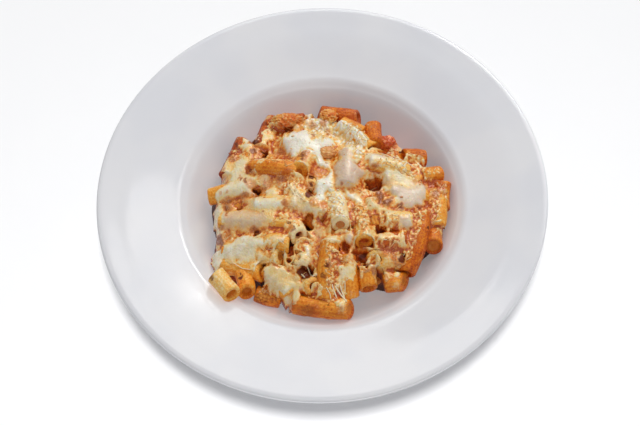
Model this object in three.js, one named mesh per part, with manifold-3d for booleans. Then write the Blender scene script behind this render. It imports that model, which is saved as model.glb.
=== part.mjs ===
// A serving of baked tube pasta in its wide-rimmed round dish.
// Millimetres, +Z up. The origin is the middle of the circle that the dish's foot stands on.
//
// dish          one turned piece: foot ring, well, soft shoulder, gently rising wide rim
// pasta_heap    a sauced core with the tubes that show fused on, and lumps of sauce
// cheese_...    pools of melted cheese that lie over the tubes

import * as THREE from "three";
import { mergeVertices } from "three/addons/utils/BufferGeometryUtils.js";
import Module from "manifold-3d";

const wasm = await Module();
wasm.setup();

// ---------------------------------------------------------------- driving dimensions

const DISH = {
  radius: 150,
  height: 50,
  wellRadius: 94, // to the shoulder between well and rim
  shoulderHeight: 37,
  floorHeight: 8,
  floorRadius: 50,
  floorThickness: 4.5,
  wallThickness: 4.5,
  edgeThickness: 3.6,
  footInner: 52,
  footOuter: 58,
  wellSteps: 5,
  sides: 56,
};

// Upper face over the shoulder: [outward of the well's edge, above the shoulder's height].
const SHOULDER = [[-1, -2.5], [3, 0.2], [9, 1.8]];

// Upper face of the rim: [inward of the rim's edge, below the dish's height].
const RIM_SLOPE = [[24, 4.6], [4, 0.4]];

// Underside of the well: [radius, how much thicker the wall is there than wallThickness].
const WELL_UNDERSIDE = [[90, 3.5], [78, 2], [65, 0.8]];

const CORE = {
  edge: 22, // height of the rounded edge
  rise: 26, // from that edge to the top
  rings: 5,
  sides: 24,
  // Reach from the dish's axis, every 30 degrees round from +X.
  reach: [74, 62, 60, 64, 63, 61, 66, 70, 68, 76, 72, 73],
};

const TUBE = {
  sides: 8,
  boreSides: 6,
  boreRadius: 3,
  boreDepth: 8,
};

const CHEESE = {
  cover: 1.6, // over the highest part of a tube
  depth: 3, // from a pool's upper face down into the valleys
  sag: 0.06, // how strongly it sinks between tubes
  passes: 24, // rounds of settling
  reach: 92, // half the side of the square that the settling covers
  step: 2, // between the heights that settle
  cell: 5, // of a pool's slab
};

const GAP = 0.35; // between pieces that touch

// ---------------------------------------------------------------- the tubes
// Each row: one end [x, y, z], other end [x, y, z], radius, upward bow, then whether the
// first and second end show open.

const TUBES = [
  // left side, from the back to the front
  [[-31, 70, 28], [-39, 41, 38], 5.8, 0, false, true],
  [[-52, 53, 30], [-64, 22, 34], 5.8, 0, false, true],
  [[-77, 9, 31], [-48, 7, 42], 6, 0, true, false],
  [[-46, 22, 44], [-16, 15, 49], 6, 3, true, false],
  [[-36, 17, 44], [-41, 7, 43], 5.5, 0, false, true],
  [[-45, -7, 45], [-17, -10, 49], 5.5, 0, false, false],
  [[-68, -13, 36], [-23, -22, 46], 6, 1, false, false],
  [[-16, -34, 48], [-25, -12, 39], 6, 0, true, false],
  [[-64, -6, 34], [-47, -1, 38], 5, 0, true, false],
  [[-62, -23, 33], [-38, -23, 38], 5.5, 0, true, false],
  // front left
  [[-67, -44, 31], [-42, -54, 38], 6, 0, false, true],
  [[-72, -56, 44], [-61, -71, 43], 6.3, 0, false, true],
  [[-56, -47, 33], [-52, -68, 39], 5.8, 0, false, true],
  [[-47, -64, 29], [-31, -68, 25], 5.5, 0, false, false],
  [[-44, -42, 39], [-29, -45, 43], 5.8, 0, false, true],
  [[-38, -35, 43], [-23, -39, 45], 5.5, 2, false, true],
  [[-12, -50, 41], [-18, -48, 45], 4.5, 0, false, true],
  // front
  [[-8, -67, 40], [-15, -57, 29], 6, 0, true, false],
  [[-23, -74, 31], [11, -83, 36], 6.5, 0, false, true],
  [[4, -38, 46], [-1, -75, 36], 6.3, 1, false, false],
  [[14, -48, 43], [15, -74, 34], 5.8, 1, false, false],
  [[9, -5, 47], [11, -29, 51], 6, 0, false, true],
  [[25, -15, 45], [26, -40, 46], 6, 0, false, true],
  // front right
  [[33, -51, 43], [49, -50, 35], 6, 0, true, false],
  [[36, -40, 44], [53, -38, 41], 6, 0, false, false],
  [[27, -55, 38], [27, -68, 34], 6.2, 0, false, true],
  [[37, -64, 33], [49, -63, 31], 6.2, 0, false, true],
  [[66, -15, 38], [53, -60, 32], 6.2, 2, false, true],
  // right side
  [[78, 2, 33], [75, -25, 33], 6.2, 1, false, false],
  [[72, -40, 34], [74, -21, 28], 6.2, 0, true, false],
  [[83, 8, 34], [80, -11, 32], 5.6, 0, false, false],
  [[69, 13, 37], [82, 15, 34], 5.6, 0, true, false],
  [[57, 26, 41], [73, 28, 34], 5.6, 0, true, true],
  [[34, 19, 48], [59, 15, 40], 6, 1, true, false],
  [[44, 8, 43], [68, 9, 36], 5.6, 0, false, false],
  [[41, -24, 45], [58, -24, 41], 6.2, 0, false, false],
  // back
  [[38, 55, 37], [39, 35, 43], 6, 0, false, true],
  [[1, 69, 34], [29, 63, 35], 6, 0, true, true],
  [[-35, 62, 33], [-9, 62, 37], 5.6, 0, false, false],
  // top
  [[-6, 29, 47], [-14, 13, 52], 6, 0, false, true],
  [[21, 29, 47], [16, 1, 50], 6.5, 1, false, false],
  [[-22, 2, 48], [2, -19, 48], 5.6, 0, false, false],
  // deeper tubes, mostly under cheese and crumbs
  [[-34, 11, 41], [-18, 0, 44], 5.5, 0, false, false],
  [[-24, 44, 41], [2, 39, 44], 5.6, 0, false, false],
  [[-8, -34, 40], [-4, -52, 36], 5.5, 0, false, false],
  [[-39, -50, 37], [-24, -68, 33], 5.8, 0, false, false],
  [[17, -39, 35], [31, -49, 31], 5.5, 0, false, false],
  [[47, -2, 43], [70, -3, 35], 5.8, 0, false, false],
  [[-67, -35, 32], [-45, -35, 40], 5.8, 0, false, false],
  [[-46, 44, 35], [-56, 14, 37], 5.8, 0, false, false],
  [[-10, 6, 47], [8, -1, 48], 5.6, 0, false, false],
  [[15, 56, 40], [31, 46, 41], 5.6, 0, false, false],
  [[33, -8, 45], [35, -26, 41], 5.6, 0, false, false],
  [[-17, 58, 36], [8, 57, 37], 5.6, 0, false, false],
  [[-15, -11, 41], [-1, -25, 41], 5.6, 0, false, false],
  [[23, 49, 41], [36, 34, 42], 5.6, 0, false, false],
  [[41, -12, 43], [57, -9, 40], 5.6, 0, false, false],
  [[17, -18, 42], [17, -37, 39], 5.6, 0, false, false],
  [[-22, -49, 36], [-13, -60, 33], 5.6, 0, false, false],
  [[48, 39, 36], [53, 22, 36], 5.6, 0, false, false],
];

// A lower ring of tubes closes the heap's foot all round, each slanted a little more or less.
const LOWER_RING = {
  count: 13,
  inset: 8, // from the core's reach
  height: 24,
  length: 30,
  radius: 5.6,
  slant: 24, // degrees off the ring, at most
  turnStep: 97, // degrees of the slant's cycle between one tube and the next
};

// Lumps of sauce and tomato: [x, y, z], radii along x, y and z.
const LUMPS = [
  { at: [48, 40, 41], size: [6, 5, 4.5] },
  { at: [6, 30, 48], size: [5, 5, 5] },
  { at: [-22, 60, 42], size: [13, 6, 3.5] },
  { at: [8, 62, 42], size: [6, 5, 3.5] },
];

// Pools of cheese: outline seen from above, in order round the pool.
const POOLS = {
  cheese_top: [
    [-27, 42], [-18, 47], [-4, 44], [11, 40], [15, 32], [9, 26],
    [6, 16], [-1, 14], [-9, 27], [-23, 29],
  ],
  cheese_middle: [
    [-5, 2], [1, 8], [7, 8], [10, 1], [12, -6], [6, -12],
    [0, -16], [-7, -11], [-8, -4],
  ],
  cheese_dome: [
    [16, 28], [22, 29], [27, 23], [31, 13], [27, 2], [22, -4],
    [14, -3], [11, 5], [12, 18],
  ],
  cheese_right: [
    [41, 11], [51, 13], [60, 9], [69, 2], [72, -3], [70, -11],
    [59, -15], [49, -13], [43, -5], [39, 3],
  ],
  cheese_left: [
    [-62, 34], [-51, 46], [-45, 39], [-46, 26], [-50, 16], [-45, 6],
    [-46, 0], [-56, -2], [-68, 1], [-72, 6], [-61, 12],
  ],
  cheese_coat: [
    [-72, -4], [-57, -12], [-46, -6], [-28, -7], [-17, -10], [-17, -15],
    [-33, -18], [-31, -24], [-40, -27], [-58, -25], [-71, -21],
  ],
  cheese_front: [
    [-75, -39], [-72, -35], [-63, -32], [-55, -30], [-42, -32], [-38, -38],
    [-41, -46], [-52, -50], [-63, -48], [-72, -46],
  ],
  cheese_band: [
    [-39, -52], [-34, -53], [-25, -58], [-18, -64], [-18, -72], [-22, -76],
    [-28, -74], [-32, -68], [-39, -61],
  ],
};

// ---------------------------------------------------------------- solids and meshes

// A closed three.js geometry as a solid that can be joined and cut.
function solidOf(geometry) {
  const bare = geometry.clone();
  bare.deleteAttribute("normal");
  bare.deleteAttribute("uv");
  const merged = mergeVertices(bare, 1e-4);
  return new wasm.Manifold(
    new wasm.Mesh({
      numProp: 3,
      vertProperties: new Float32Array(merged.attributes.position.array),
      triVerts: new Uint32Array(merged.index.array),
    }),
  );
}

// The largest body of a solid: cavities that joining sealed are filled, loose scraps dropped.
function mainBody(solid) {
  return solid.decompose().reduce((best, body) => (body.volume() > best.volume() ? body : best));
}

function meshOf(name, solid, material) {
  const { vertProperties, triVerts } = solid.getMesh();
  const geometry = new THREE.BufferGeometry();
  geometry.setAttribute("position", new THREE.BufferAttribute(new Float32Array(vertProperties), 3));
  geometry.setIndex(new THREE.BufferAttribute(new Uint32Array(triVerts), 1));
  geometry.computeVertexNormals();
  const mesh = new THREE.Mesh(geometry, material);
  mesh.name = name;
  return mesh;
}

// A profile of [radius, height] points turned about the Z axis.
function turned(profile, sides) {
  const points = profile.map(([r, z]) => new THREE.Vector2(r, z));
  return solidOf(new THREE.LatheGeometry(points, sides).rotateX(Math.PI / 2));
}

// ---------------------------------------------------------------- dish

// Height of the dish's upper face at a radius, before the shoulder is rounded.
function wellHeight(radius) {
  const { floorHeight, floorRadius, wellRadius, shoulderHeight } = DISH;
  const along = Math.max(0, radius - floorRadius) / (wellRadius - floorRadius);
  return floorHeight + (shoulderHeight - floorHeight) * along * along;
}

// The upper face from the axis to the rim's edge.
function upperProfile() {
  const { wellRadius, shoulderHeight, floorRadius, wellSteps, radius, height } = DISH;
  const [wallTop] = WELL_UNDERSIDE[0];
  const points = [[0, DISH.floorHeight]];
  for (let i = 0; i <= wellSteps; i += 1) {
    const r = floorRadius + ((wallTop - floorRadius) * i) / wellSteps;
    points.push([r, wellHeight(r)]);
  }
  for (const [out, up] of SHOULDER) points.push([wellRadius + out, shoulderHeight + up]);
  for (const [inward, down] of RIM_SLOPE) points.push([radius - inward, height - down]);
  return points;
}

function dish() {
  const { radius, height, edgeThickness, wellRadius, shoulderHeight, wallThickness } = DISH;
  const { footInner, footOuter, floorHeight, floorThickness } = DISH;
  const under = floorHeight - floorThickness;
  const [slopeInward, slopeDown] = RIM_SLOPE[0];
  const roundedEdge = [
    [radius - 1.4, height],
    [radius, height - 1.5],
    [radius - 1.2, height - edgeThickness],
  ];
  const rimUnderside = [
    [radius - slopeInward, height - slopeDown - wallThickness],
    [wellRadius + 7, shoulderHeight - wallThickness],
  ];
  const wellUnderside = WELL_UNDERSIDE.map(([r, more]) => [r, wellHeight(r) - wallThickness - more]);
  const foot = [
    [footOuter + 1, under - 0.1],
    [footOuter, 0],
    [footInner, 0],
    [footInner - 1.5, under],
    [0, under],
  ];
  const profile = [...upperProfile(), ...roundedEdge, ...rimUnderside, ...wellUnderside, ...foot];
  return turned(profile.reverse(), DISH.sides);
}

// The room inside the dish, set in from its upper face by a gap.
function roomInDish(gap) {
  const inner = upperProfile();
  const set = inner.map(([r, z], i) => {
    const [r0, z0] = inner[Math.max(0, i - 1)];
    const [r1, z1] = inner[Math.min(inner.length - 1, i + 1)];
    const length = Math.hypot(r1 - r0, z1 - z0);
    return i === 0 ? [0, z + gap] : [r - (gap * (z1 - z0)) / length, z + (gap * (r1 - r0)) / length];
  });
  const [edge] = set[set.length - 1];
  return turned([...set, [edge, 2 * DISH.height], [0, 2 * DISH.height]], DISH.sides);
}

// ---------------------------------------------------------------- pasta heap

// How far the core reaches at an angle round the axis, in radians.
function coreReach(angle) {
  const { reach } = CORE;
  const turn = (((angle / (2 * Math.PI)) % 1) + 1) % 1;
  const place = turn * reach.length;
  const i = Math.floor(place);
  const blend = (1 - Math.cos((place - i) * Math.PI)) / 2;
  return THREE.MathUtils.lerp(reach[i % reach.length], reach[(i + 1) % reach.length], blend);
}

// Height of the core's upper face at a share of its reach.
function coreCurve(share) {
  return CORE.edge + CORE.rise * Math.max(0, 1 - share * share) ** 0.6;
}

function coreHeight(x, y) {
  return coreCurve(Math.hypot(x, y) / coreReach(Math.atan2(y, x)));
}

// The core: a low dome that reaches down into the well.
function core(grow) {
  const profile = [new THREE.Vector2(0, 0), new THREE.Vector2(1, 0)];
  for (let i = 0; i <= CORE.rings; i += 1) {
    const share = i < CORE.rings ? Math.cos((i / CORE.rings) * (Math.PI / 2)) : 0;
    profile.push(new THREE.Vector2(share, coreCurve(share) + grow));
  }
  const geometry = new THREE.LatheGeometry(profile, CORE.sides).rotateX(Math.PI / 2);
  const place = geometry.attributes.position;
  for (let i = 0; i < place.count; i += 1) {
    const x = place.getX(i);
    const y = place.getY(i);
    const reach = coreReach(Math.atan2(y, x)) + grow;
    place.setXY(i, x * reach, y * reach);
  }
  return solidOf(geometry);
}

// A straight or bowed tube between two points, closed at both ends.
function rod(from, to, radius, bow, grow) {
  const a = new THREE.Vector3(...from);
  const b = new THREE.Vector3(...to);
  const axis = b.clone().sub(a).normalize();
  a.addScaledVector(axis, -grow);
  b.addScaledVector(axis, grow);
  const middle = a.clone().lerp(b, 0.5);
  middle.z += 2 * bow;
  const path = new THREE.QuadraticBezierCurve3(a, middle, b);
  const section = new THREE.Shape();
  for (let i = 0; i < TUBE.sides; i += 1) {
    const angle = (i / TUBE.sides) * 2 * Math.PI;
    const x = (radius + grow) * Math.cos(angle);
    const y = (radius + grow) * Math.sin(angle);
    if (i === 0) section.moveTo(x, y);
    else section.lineTo(x, y);
  }
  const steps = bow > 1 ? 3 : bow > 0 ? 2 : 1;
  const options = { steps, extrudePath: path, bevelEnabled: false };
  return solidOf(new THREE.ExtrudeGeometry(section, options));
}

// The hollow at a tube's end.
function bore(end, other) {
  const a = new THREE.Vector3(...end);
  const inward = new THREE.Vector3(...other).sub(a).normalize();
  const { boreRadius, boreDepth, boreSides } = TUBE;
  const geometry = new THREE.CylinderGeometry(boreRadius, boreRadius, boreDepth, boreSides);
  const turn = new THREE.Quaternion().setFromUnitVectors(new THREE.Vector3(0, 1, 0), inward);
  geometry.applyQuaternion(turn);
  const middle = a.addScaledVector(inward, boreDepth / 2 - 1);
  return solidOf(geometry.translate(middle.x, middle.y, middle.z));
}

function lowerRing() {
  const { count, inset, height, length, radius, turnStep, slant } = LOWER_RING;
  const rows = [];
  for (let i = 0; i < count; i += 1) {
    const place = (i / count) * 2 * Math.PI;
    const swing = THREE.MathUtils.degToRad(slant) * Math.sin(THREE.MathUtils.degToRad(i * turnStep));
    const heading = place + Math.PI / 2 + swing;
    const out = coreReach(place) - inset;
    const x = out * Math.cos(place);
    const y = out * Math.sin(place);
    const halfX = (length / 2) * Math.cos(heading);
    const halfY = (length / 2) * Math.sin(heading);
    const from = [x - halfX, y - halfY, height];
    const to = [x + halfX, y + halfY, height];
    rows.push([from, to, radius, 0, false, false]);
  }
  return rows;
}

function lump({ at, size }, grow) {
  const geometry = new THREE.IcosahedronGeometry(1, 1);
  geometry.scale(size[0] + grow, size[1] + grow, size[2] + grow);
  geometry.translate(...at);
  return solidOf(geometry);
}

// The heap. Grown by a gap it has no bores: that is what the cheese is cut to fit.
function heap(grow) {
  const rows = [...TUBES, ...lowerRing()];
  const rods = rows.map(([from, to, radius, bow]) => rod(from, to, radius, bow, grow));
  const lumps = LUMPS.map((each) => lump(each, grow));
  let solid = wasm.Manifold.union([core(grow), ...rods, ...lumps]);
  if (grow > 0) return solid;
  for (const [from, to, , , firstOpen, secondOpen] of rows) {
    if (firstOpen) solid = solid.subtract(bore(from, to));
    if (secondOpen) solid = solid.subtract(bore(to, from));
  }
  return mainBody(solid.intersect(roomInDish(GAP)));
}

// ---------------------------------------------------------------- cheese

// Height of the heap's upper face over a point.
function heapHeight(x, y) {
  let height = coreHeight(x, y);
  for (const [from, to, radius, bow] of TUBES) {
    const dx = to[0] - from[0];
    const dy = to[1] - from[1];
    const square = dx * dx + dy * dy;
    const along = ((x - from[0]) * dx + (y - from[1]) * dy) / square;
    if (along >= 0 && along <= 1) {
      const off = ((x - from[0]) * dy - (y - from[1]) * dx) / Math.sqrt(square);
      if (Math.abs(off) < radius) {
        const middle = from[2] + (to[2] - from[2]) * along + 4 * bow * along * (1 - along);
        height = Math.max(height, middle + Math.sqrt(radius * radius - off * off));
      }
    }
  }
  return height;
}

// A sheet that lies on the heap and spans its valleys, on a square grid of heights.
function drapedSheet() {
  const { reach, step, passes } = CHEESE;
  const count = Math.round((2 * reach) / step) + 1;
  const at = (i) => -reach + step * i;
  const floor = [];
  for (let j = 0; j < count; j += 1)
    for (let i = 0; i < count; i += 1) floor.push(heapHeight(at(i), at(j)) + CHEESE.cover);
  let sheet = floor.slice();
  for (let pass = 0; pass < passes; pass += 1) {
    const next = sheet.slice();
    for (let j = 1; j < count - 1; j += 1)
      for (let i = 1; i < count - 1; i += 1) {
        const k = j * count + i;
        const around = sheet[k - 1] + sheet[k + 1] + sheet[k - count] + sheet[k + count];
        next[k] = Math.max(floor[k], around / 4 - CHEESE.sag);
      }
    sheet = next;
  }
  return (x, y) => {
    const u = THREE.MathUtils.clamp((x + reach) / step, 0, count - 1.001);
    const v = THREE.MathUtils.clamp((y + reach) / step, 0, count - 1.001);
    const i = Math.floor(u);
    const j = Math.floor(v);
    const k = j * count + i;
    const near = THREE.MathUtils.lerp(sheet[k], sheet[k + 1], u - i);
    const far = THREE.MathUtils.lerp(sheet[k + count], sheet[k + count + 1], u - i);
    return THREE.MathUtils.lerp(near, far, v - j);
  };
}

// One pool: a slab that follows the sheet, trimmed to the outline and fitted over the heap.
function pool(outline, sheetHeight, heapWithGap, room) {
  const corners = outline.map(([x, y]) => new THREE.Vector2(x, y));
  const edge = new THREE.SplineCurve([...corners, corners[0]]).getPoints(2 * corners.length);
  edge.pop();
  const margin = new THREE.Box2().setFromPoints(edge).expandByScalar(1);
  const size = margin.getSize(new THREE.Vector2());
  const middle = margin.getCenter(new THREE.Vector2());
  const across = Math.round(size.x / CHEESE.cell);
  const along = Math.round(size.y / CHEESE.cell);
  const slab = new THREE.BoxGeometry(size.x, size.y, 1, across, along, 1);
  slab.translate(middle.x, middle.y, 0);
  const place = slab.attributes.position;
  for (let i = 0; i < place.count; i += 1) {
    const under = place.getZ(i) < 0 ? CHEESE.depth : 0;
    place.setZ(i, sheetHeight(place.getX(i), place.getY(i)) - under);
  }
  const upright = { depth: 2 * DISH.height, bevelEnabled: false };
  const cutter = new THREE.ExtrudeGeometry(new THREE.Shape(edge), upright);
  const trimmed = solidOf(slab).intersect(solidOf(cutter)).intersect(room);
  return mainBody(trimmed.subtract(heapWithGap));
}

// ---------------------------------------------------------------- materials and the whole

const glazedWhite = { color: 0xe9ebf0, roughness: 0.12, metalness: 0 };
const saucedOrange = { color: 0xc87a2e, roughness: 0.45, metalness: 0 };
const meltedCream = { color: 0xe6dcc0, roughness: 0.35, metalness: 0 };

const group = new THREE.Group();
group.add(meshOf("dish", dish(), new THREE.MeshStandardMaterial(glazedWhite)));
group.add(meshOf("pasta_heap", heap(0), new THREE.MeshStandardMaterial(saucedOrange)));

const heapWithGap = heap(GAP);
const room = roomInDish(GAP);
const sheetHeight = drapedSheet();
for (const [name, outline] of Object.entries(POOLS)) {
  const cheese = new THREE.MeshStandardMaterial(meltedCream);
  group.add(meshOf(name, pool(outline, sheetHeight, heapWithGap, room), cheese));
}

export default group;
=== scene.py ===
"""A serving of baked tube pasta in its wide-rimmed round dish.

Sizes are millimetres in the named values and metres in the meshes. +Z is up, and the origin is the
middle of the circle that the dish's foot stands on. Places on the heap are given in the picture of
the fixed camera, 640 by 426, and are carried down its rays onto the heap's own surface.
"""

import math

import bmesh
import bpy
import numpy as np
from mathutils import Matrix, Vector, noise


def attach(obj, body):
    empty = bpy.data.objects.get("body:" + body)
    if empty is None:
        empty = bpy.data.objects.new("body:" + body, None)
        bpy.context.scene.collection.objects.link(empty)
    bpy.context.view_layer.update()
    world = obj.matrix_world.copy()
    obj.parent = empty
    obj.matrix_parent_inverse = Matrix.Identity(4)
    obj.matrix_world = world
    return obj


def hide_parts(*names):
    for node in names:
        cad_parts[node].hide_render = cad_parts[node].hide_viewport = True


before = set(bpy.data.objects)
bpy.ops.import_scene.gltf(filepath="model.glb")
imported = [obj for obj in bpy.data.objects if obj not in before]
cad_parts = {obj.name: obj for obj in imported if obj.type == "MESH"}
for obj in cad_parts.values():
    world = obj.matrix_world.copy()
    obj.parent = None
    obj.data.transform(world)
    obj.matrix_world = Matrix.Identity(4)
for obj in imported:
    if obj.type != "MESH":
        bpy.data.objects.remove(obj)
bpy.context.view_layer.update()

MM = 0.001

# ---------------------------------------------------------------- camera

PICTURE = (640, 426)
CAMERA = {
    "elevation": 61.4,  # degrees above the horizon
    "roll": -3.19,  # degrees about its own axis
    "distance": 870.0,
    "focus": 1313.0,  # in pixels of the picture
    "target": (-1.8, -15.7, 45.0),
    "sensor": 36.0,
}


def camera_matrix():
    """Where the camera stands and how it is turned, in millimetres."""
    tilt = math.radians(90 - CAMERA["elevation"])
    turn = Matrix.Rotation(tilt, 4, "X") @ Matrix.Rotation(math.radians(CAMERA["roll"]), 4, "Z")
    place = Vector(CAMERA["target"]) + turn.to_3x3() @ Vector((0, 0, CAMERA["distance"]))
    return Matrix.Translation(place) @ turn


def picture_of(points):
    """Where points, in millimetres, appear in the picture: columns across and down."""
    matrix = np.array(camera_matrix().inverted())
    seen = points @ matrix[:3, :3].T + matrix[:3, 3]
    across = PICTURE[0] / 2 + CAMERA["focus"] * seen[:, 0] / -seen[:, 2]
    down = PICTURE[1] / 2 - CAMERA["focus"] * seen[:, 1] / -seen[:, 2]
    return np.stack([across, down], 1)


def make_camera():
    data = bpy.data.cameras.new("camera")
    data.sensor_width = CAMERA["sensor"]
    data.lens = CAMERA["sensor"] * CAMERA["focus"] / PICTURE[0]
    camera = bpy.data.objects.new("camera", data)
    bpy.context.scene.collection.objects.link(camera)
    matrix = camera_matrix()
    matrix.translation *= MM
    camera.matrix_world = matrix
    bpy.context.scene.camera = camera


# ---------------------------------------------------------------- dish sizes

DISH = {
    "radius": 150.0,
    "height": 50.0,
    "well_radius": 94.0,
    "shoulder_height": 37.0,
    "floor_height": 8.0,
    "floor_radius": 50.0,
    "wall": 4.5,
    "steps_round": 224,
}


def well_height(radius):
    """Height of the well's upper face, a floor that curves up into its wall."""
    along = max(0.0, radius - DISH["floor_radius"]) / (DISH["well_radius"] - DISH["floor_radius"])
    return DISH["floor_height"] + (DISH["shoulder_height"] - DISH["floor_height"]) * along**2


def upper_profile():
    """The upper face as [radius, height], from the axis to the rim's edge."""
    well, shoulder = DISH["well_radius"], DISH["shoulder_height"]
    points = [(0.0, DISH["floor_height"]), (25.0, DISH["floor_height"])]
    points += [(radius, well_height(radius)) for radius in range(50, 91, 8)]
    points += [(well - 1, shoulder - 2.5), (well + 3, shoulder + 0.2), (well + 9, shoulder + 1.8)]
    points += [(126.0, 45.4), (137.0, 47.7), (146.0, 49.6)]
    return points


def under_profile():
    """The rim's edge and the underside, from the edge to the axis."""
    wall = DISH["wall"]
    points = [(148.6, 50.0), (149.7, 49.5), (150.0, 48.5), (149.7, 47.2), (148.8, 46.4)]
    points += [(126.0, 45.4 - wall), (101.0, 37.0 - wall), (90.0, well_height(90) - wall - 3.5)]
    points += [(78.0, well_height(78) - wall - 2), (65.0, well_height(65) - wall - 0.8)]
    points += [(60.5, 3.6), (59.0, 2.6), (58.0, 0.4), (57.2, 0.0), (52.8, 0.0), (52.0, 0.4)]
    points += [(50.8, 2.8), (49.0, 3.5), (20.0, 3.5), (0.0, 3.5)]
    return points


# ---------------------------------------------------------------- the tubes
# Each row: first end, second end, radius, upward bow, tone (0 pale cream, 1 deep orange), and where
# an end shows open also which one (a, b or ab) and the radius of the hole.

TUBES = {
    "tubes_left": [
        ((-31, 70, 28), (-39, 41, 38), 5.8, 0, 1.00),
        ((-52, 53, 30), (-64, 22, 34), 5.8, 0, 1.00),
        ((-77, 9, 31), (-48, 7, 42), 6.0, 0, 0.52, "a", 2.6),
        ((-46, 22, 44), (-16, 15, 49), 6.0, 3, 0.73),
        ((-36, 17, 44), (-41, 7, 43), 5.5, 0, 0.25),
        ((-45, -7, 45), (-17, -10, 49), 5.5, 0, 0.35),
        ((-68, -13, 36), (-23, -22, 46), 6.0, 1, 0.45),
        ((-16, -34, 48), (-25, -12, 39), 6.0, 0, 0.06, "a", 2.4),
        ((-64, -6, 34), (-47, -1, 38), 5.0, 0, 0.60),
        ((-62, -23, 33), (-38, -23, 38), 5.5, 0, 0.85),
        ((-34, 11, 41), (-18, 0, 44), 5.5, 0, 0.55),
        ((-46, 44, 35), (-56, 14, 37), 5.8, 0, 0.60),
        ((-15, -11, 41), (-1, -25, 41), 5.6, 0, 0.70),
    ],
    "tubes_front_left": [
        ((-67, -44, 31), (-42, -54, 38), 6.0, 0, 0.50, "b", 2.8),
        ((-72, -56, 44), (-61, -71, 43), 6.3, 0, 0.34, "b", 3.7),
        ((-56, -47, 33), (-52, -68, 39), 5.8, 0, 0.60, "b", 3.2),
        ((-47, -64, 29), (-31, -68, 25), 5.5, 0, 0.72),
        ((-44, -42, 39), (-29, -45, 43), 5.8, 0, 0.30, "b", 2.8),
        ((-38, -35, 43), (-23, -39, 45), 5.5, 2, 0.45, "b", 2.2),
        ((-12, -50, 41), (-18, -48, 45), 4.5, 0, 0.10, "b", 1.6),
        ((-39, -50, 37), (-24, -68, 33), 5.8, 0, 0.50),
        ((-67, -35, 32), (-45, -35, 40), 5.8, 0, 0.60),
        ((-22, -49, 36), (-13, -60, 33), 5.6, 0, 0.80),
    ],
    "tubes_front": [
        ((-8, -67, 40), (-15, -57, 29), 6.0, 0, 0.38, "a", 2.4),
        ((-23, -74, 31), (14, -83, 36), 6.5, 0, 0.70, "b", 3.4),
        ((4, -38, 46), (-1, -75, 36), 6.3, 1, 0.68),
        ((14, -48, 43), (15, -74, 34), 5.8, 1, 0.68),
        ((9, -5, 47), (11, -29, 51), 6.0, 0, 0.05, "b", 3.0),
        ((25, -15, 45), (26, -40, 46), 6.0, 0, 0.48, "b", 3.4),
        ((-8, -34, 40), (-4, -52, 36), 5.5, 0, 0.50),
        ((17, -39, 35), (31, -49, 31), 5.5, 0, 0.95),
        ((17, -18, 42), (17, -37, 39), 5.6, 0, 0.70),
    ],
    "tubes_front_right": [
        ((33, -51, 43), (49, -50, 35), 6.0, 0, 0.30, "a", 2.1),
        ((36, -40, 44), (53, -38, 41), 6.0, 0, 0.95),
        ((27, -55, 38), (27, -68, 34), 6.2, 0, 0.68, "b", 3.4),
        ((37, -64, 33), (51, -63, 32), 6.2, 0, 0.70, "b", 2.8),
        ((66, -15, 38), (52, -58, 33), 6.2, 2, 0.86, "b", 2.8),
    ],
    "tubes_right": [
        ((78, 2, 33), (75, -25, 33), 6.2, 1, 0.56),
        ((72, -40, 34), (74, -21, 28), 6.2, 0, 0.80, "a", 4.2),
        ((83, 8, 34), (80, -11, 32), 5.6, 0, 0.74),
        ((69, 13, 37), (82, 15, 34), 5.6, 0, 0.70),
        ((57, 26, 41), (73, 28, 34), 5.6, 0, 0.84, "b", 3.0),
        ((34, 19, 48), (59, 15, 40), 6.0, 1, 0.40),
        ((44, 8, 43), (68, 9, 36), 5.6, 0, 0.50),
        ((41, -24, 45), (58, -24, 41), 6.2, 0, 0.32),
        ((47, -2, 43), (70, -3, 35), 5.8, 0, 0.50),
        ((33, -8, 45), (35, -26, 41), 5.6, 0, 0.60),
        ((41, -12, 43), (57, -9, 40), 5.6, 0, 0.60),
        ((48, 39, 36), (53, 22, 36), 5.6, 0, 0.75),
    ],
    "tubes_back": [
        ((38, 55, 37), (39, 35, 43), 6.0, 0, 0.84, "b", 3.2),
        ((1, 69, 34), (29, 63, 35), 6.0, 0, 0.88, "ab", 3.0),
        ((-35, 62, 33), (-9, 62, 37), 5.6, 0, 0.95),
        ((-6, 29, 47), (-14, 13, 52), 6.0, 0, 0.60, "b", 1.6),
        ((21, 29, 47), (16, 1, 50), 6.5, 1, 0.25),
        ((-22, 2, 48), (2, -19, 48), 5.6, 0, 0.30),
        ((-24, 44, 41), (2, 39, 44), 5.6, 0, 0.45),
        ((-10, 6, 47), (8, -1, 48), 5.6, 0, 0.35),
        ((15, 56, 40), (31, 46, 41), 5.6, 0, 0.60),
        ((-17, 58, 36), (8, 57, 37), 5.6, 0, 0.75),
        ((23, 49, 41), (36, 34, 42), 5.6, 0, 0.55),
    ],
}

# Tubes that curve to one side, by their first end: to the right of the way along, in millimetres.
SIDE_BENDS = {
    (66, -15, 38): -3.0,
    (78, 2, 33): -1.2,
    (-46, 22, 44): 0.5,
    (-23, -74, 31): 1.0,
    (-67, -44, 31): -0.8,
    (-39, -50, 37): 0.0,
}

# Open ends cut across at a slant, by the end's place: how far its top and its left are cut back.
END_CUTS = {
    (33, -51, 43): (0.75, -0.55),
    (51, -63, 32): (0.6, -0.5),
}

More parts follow.
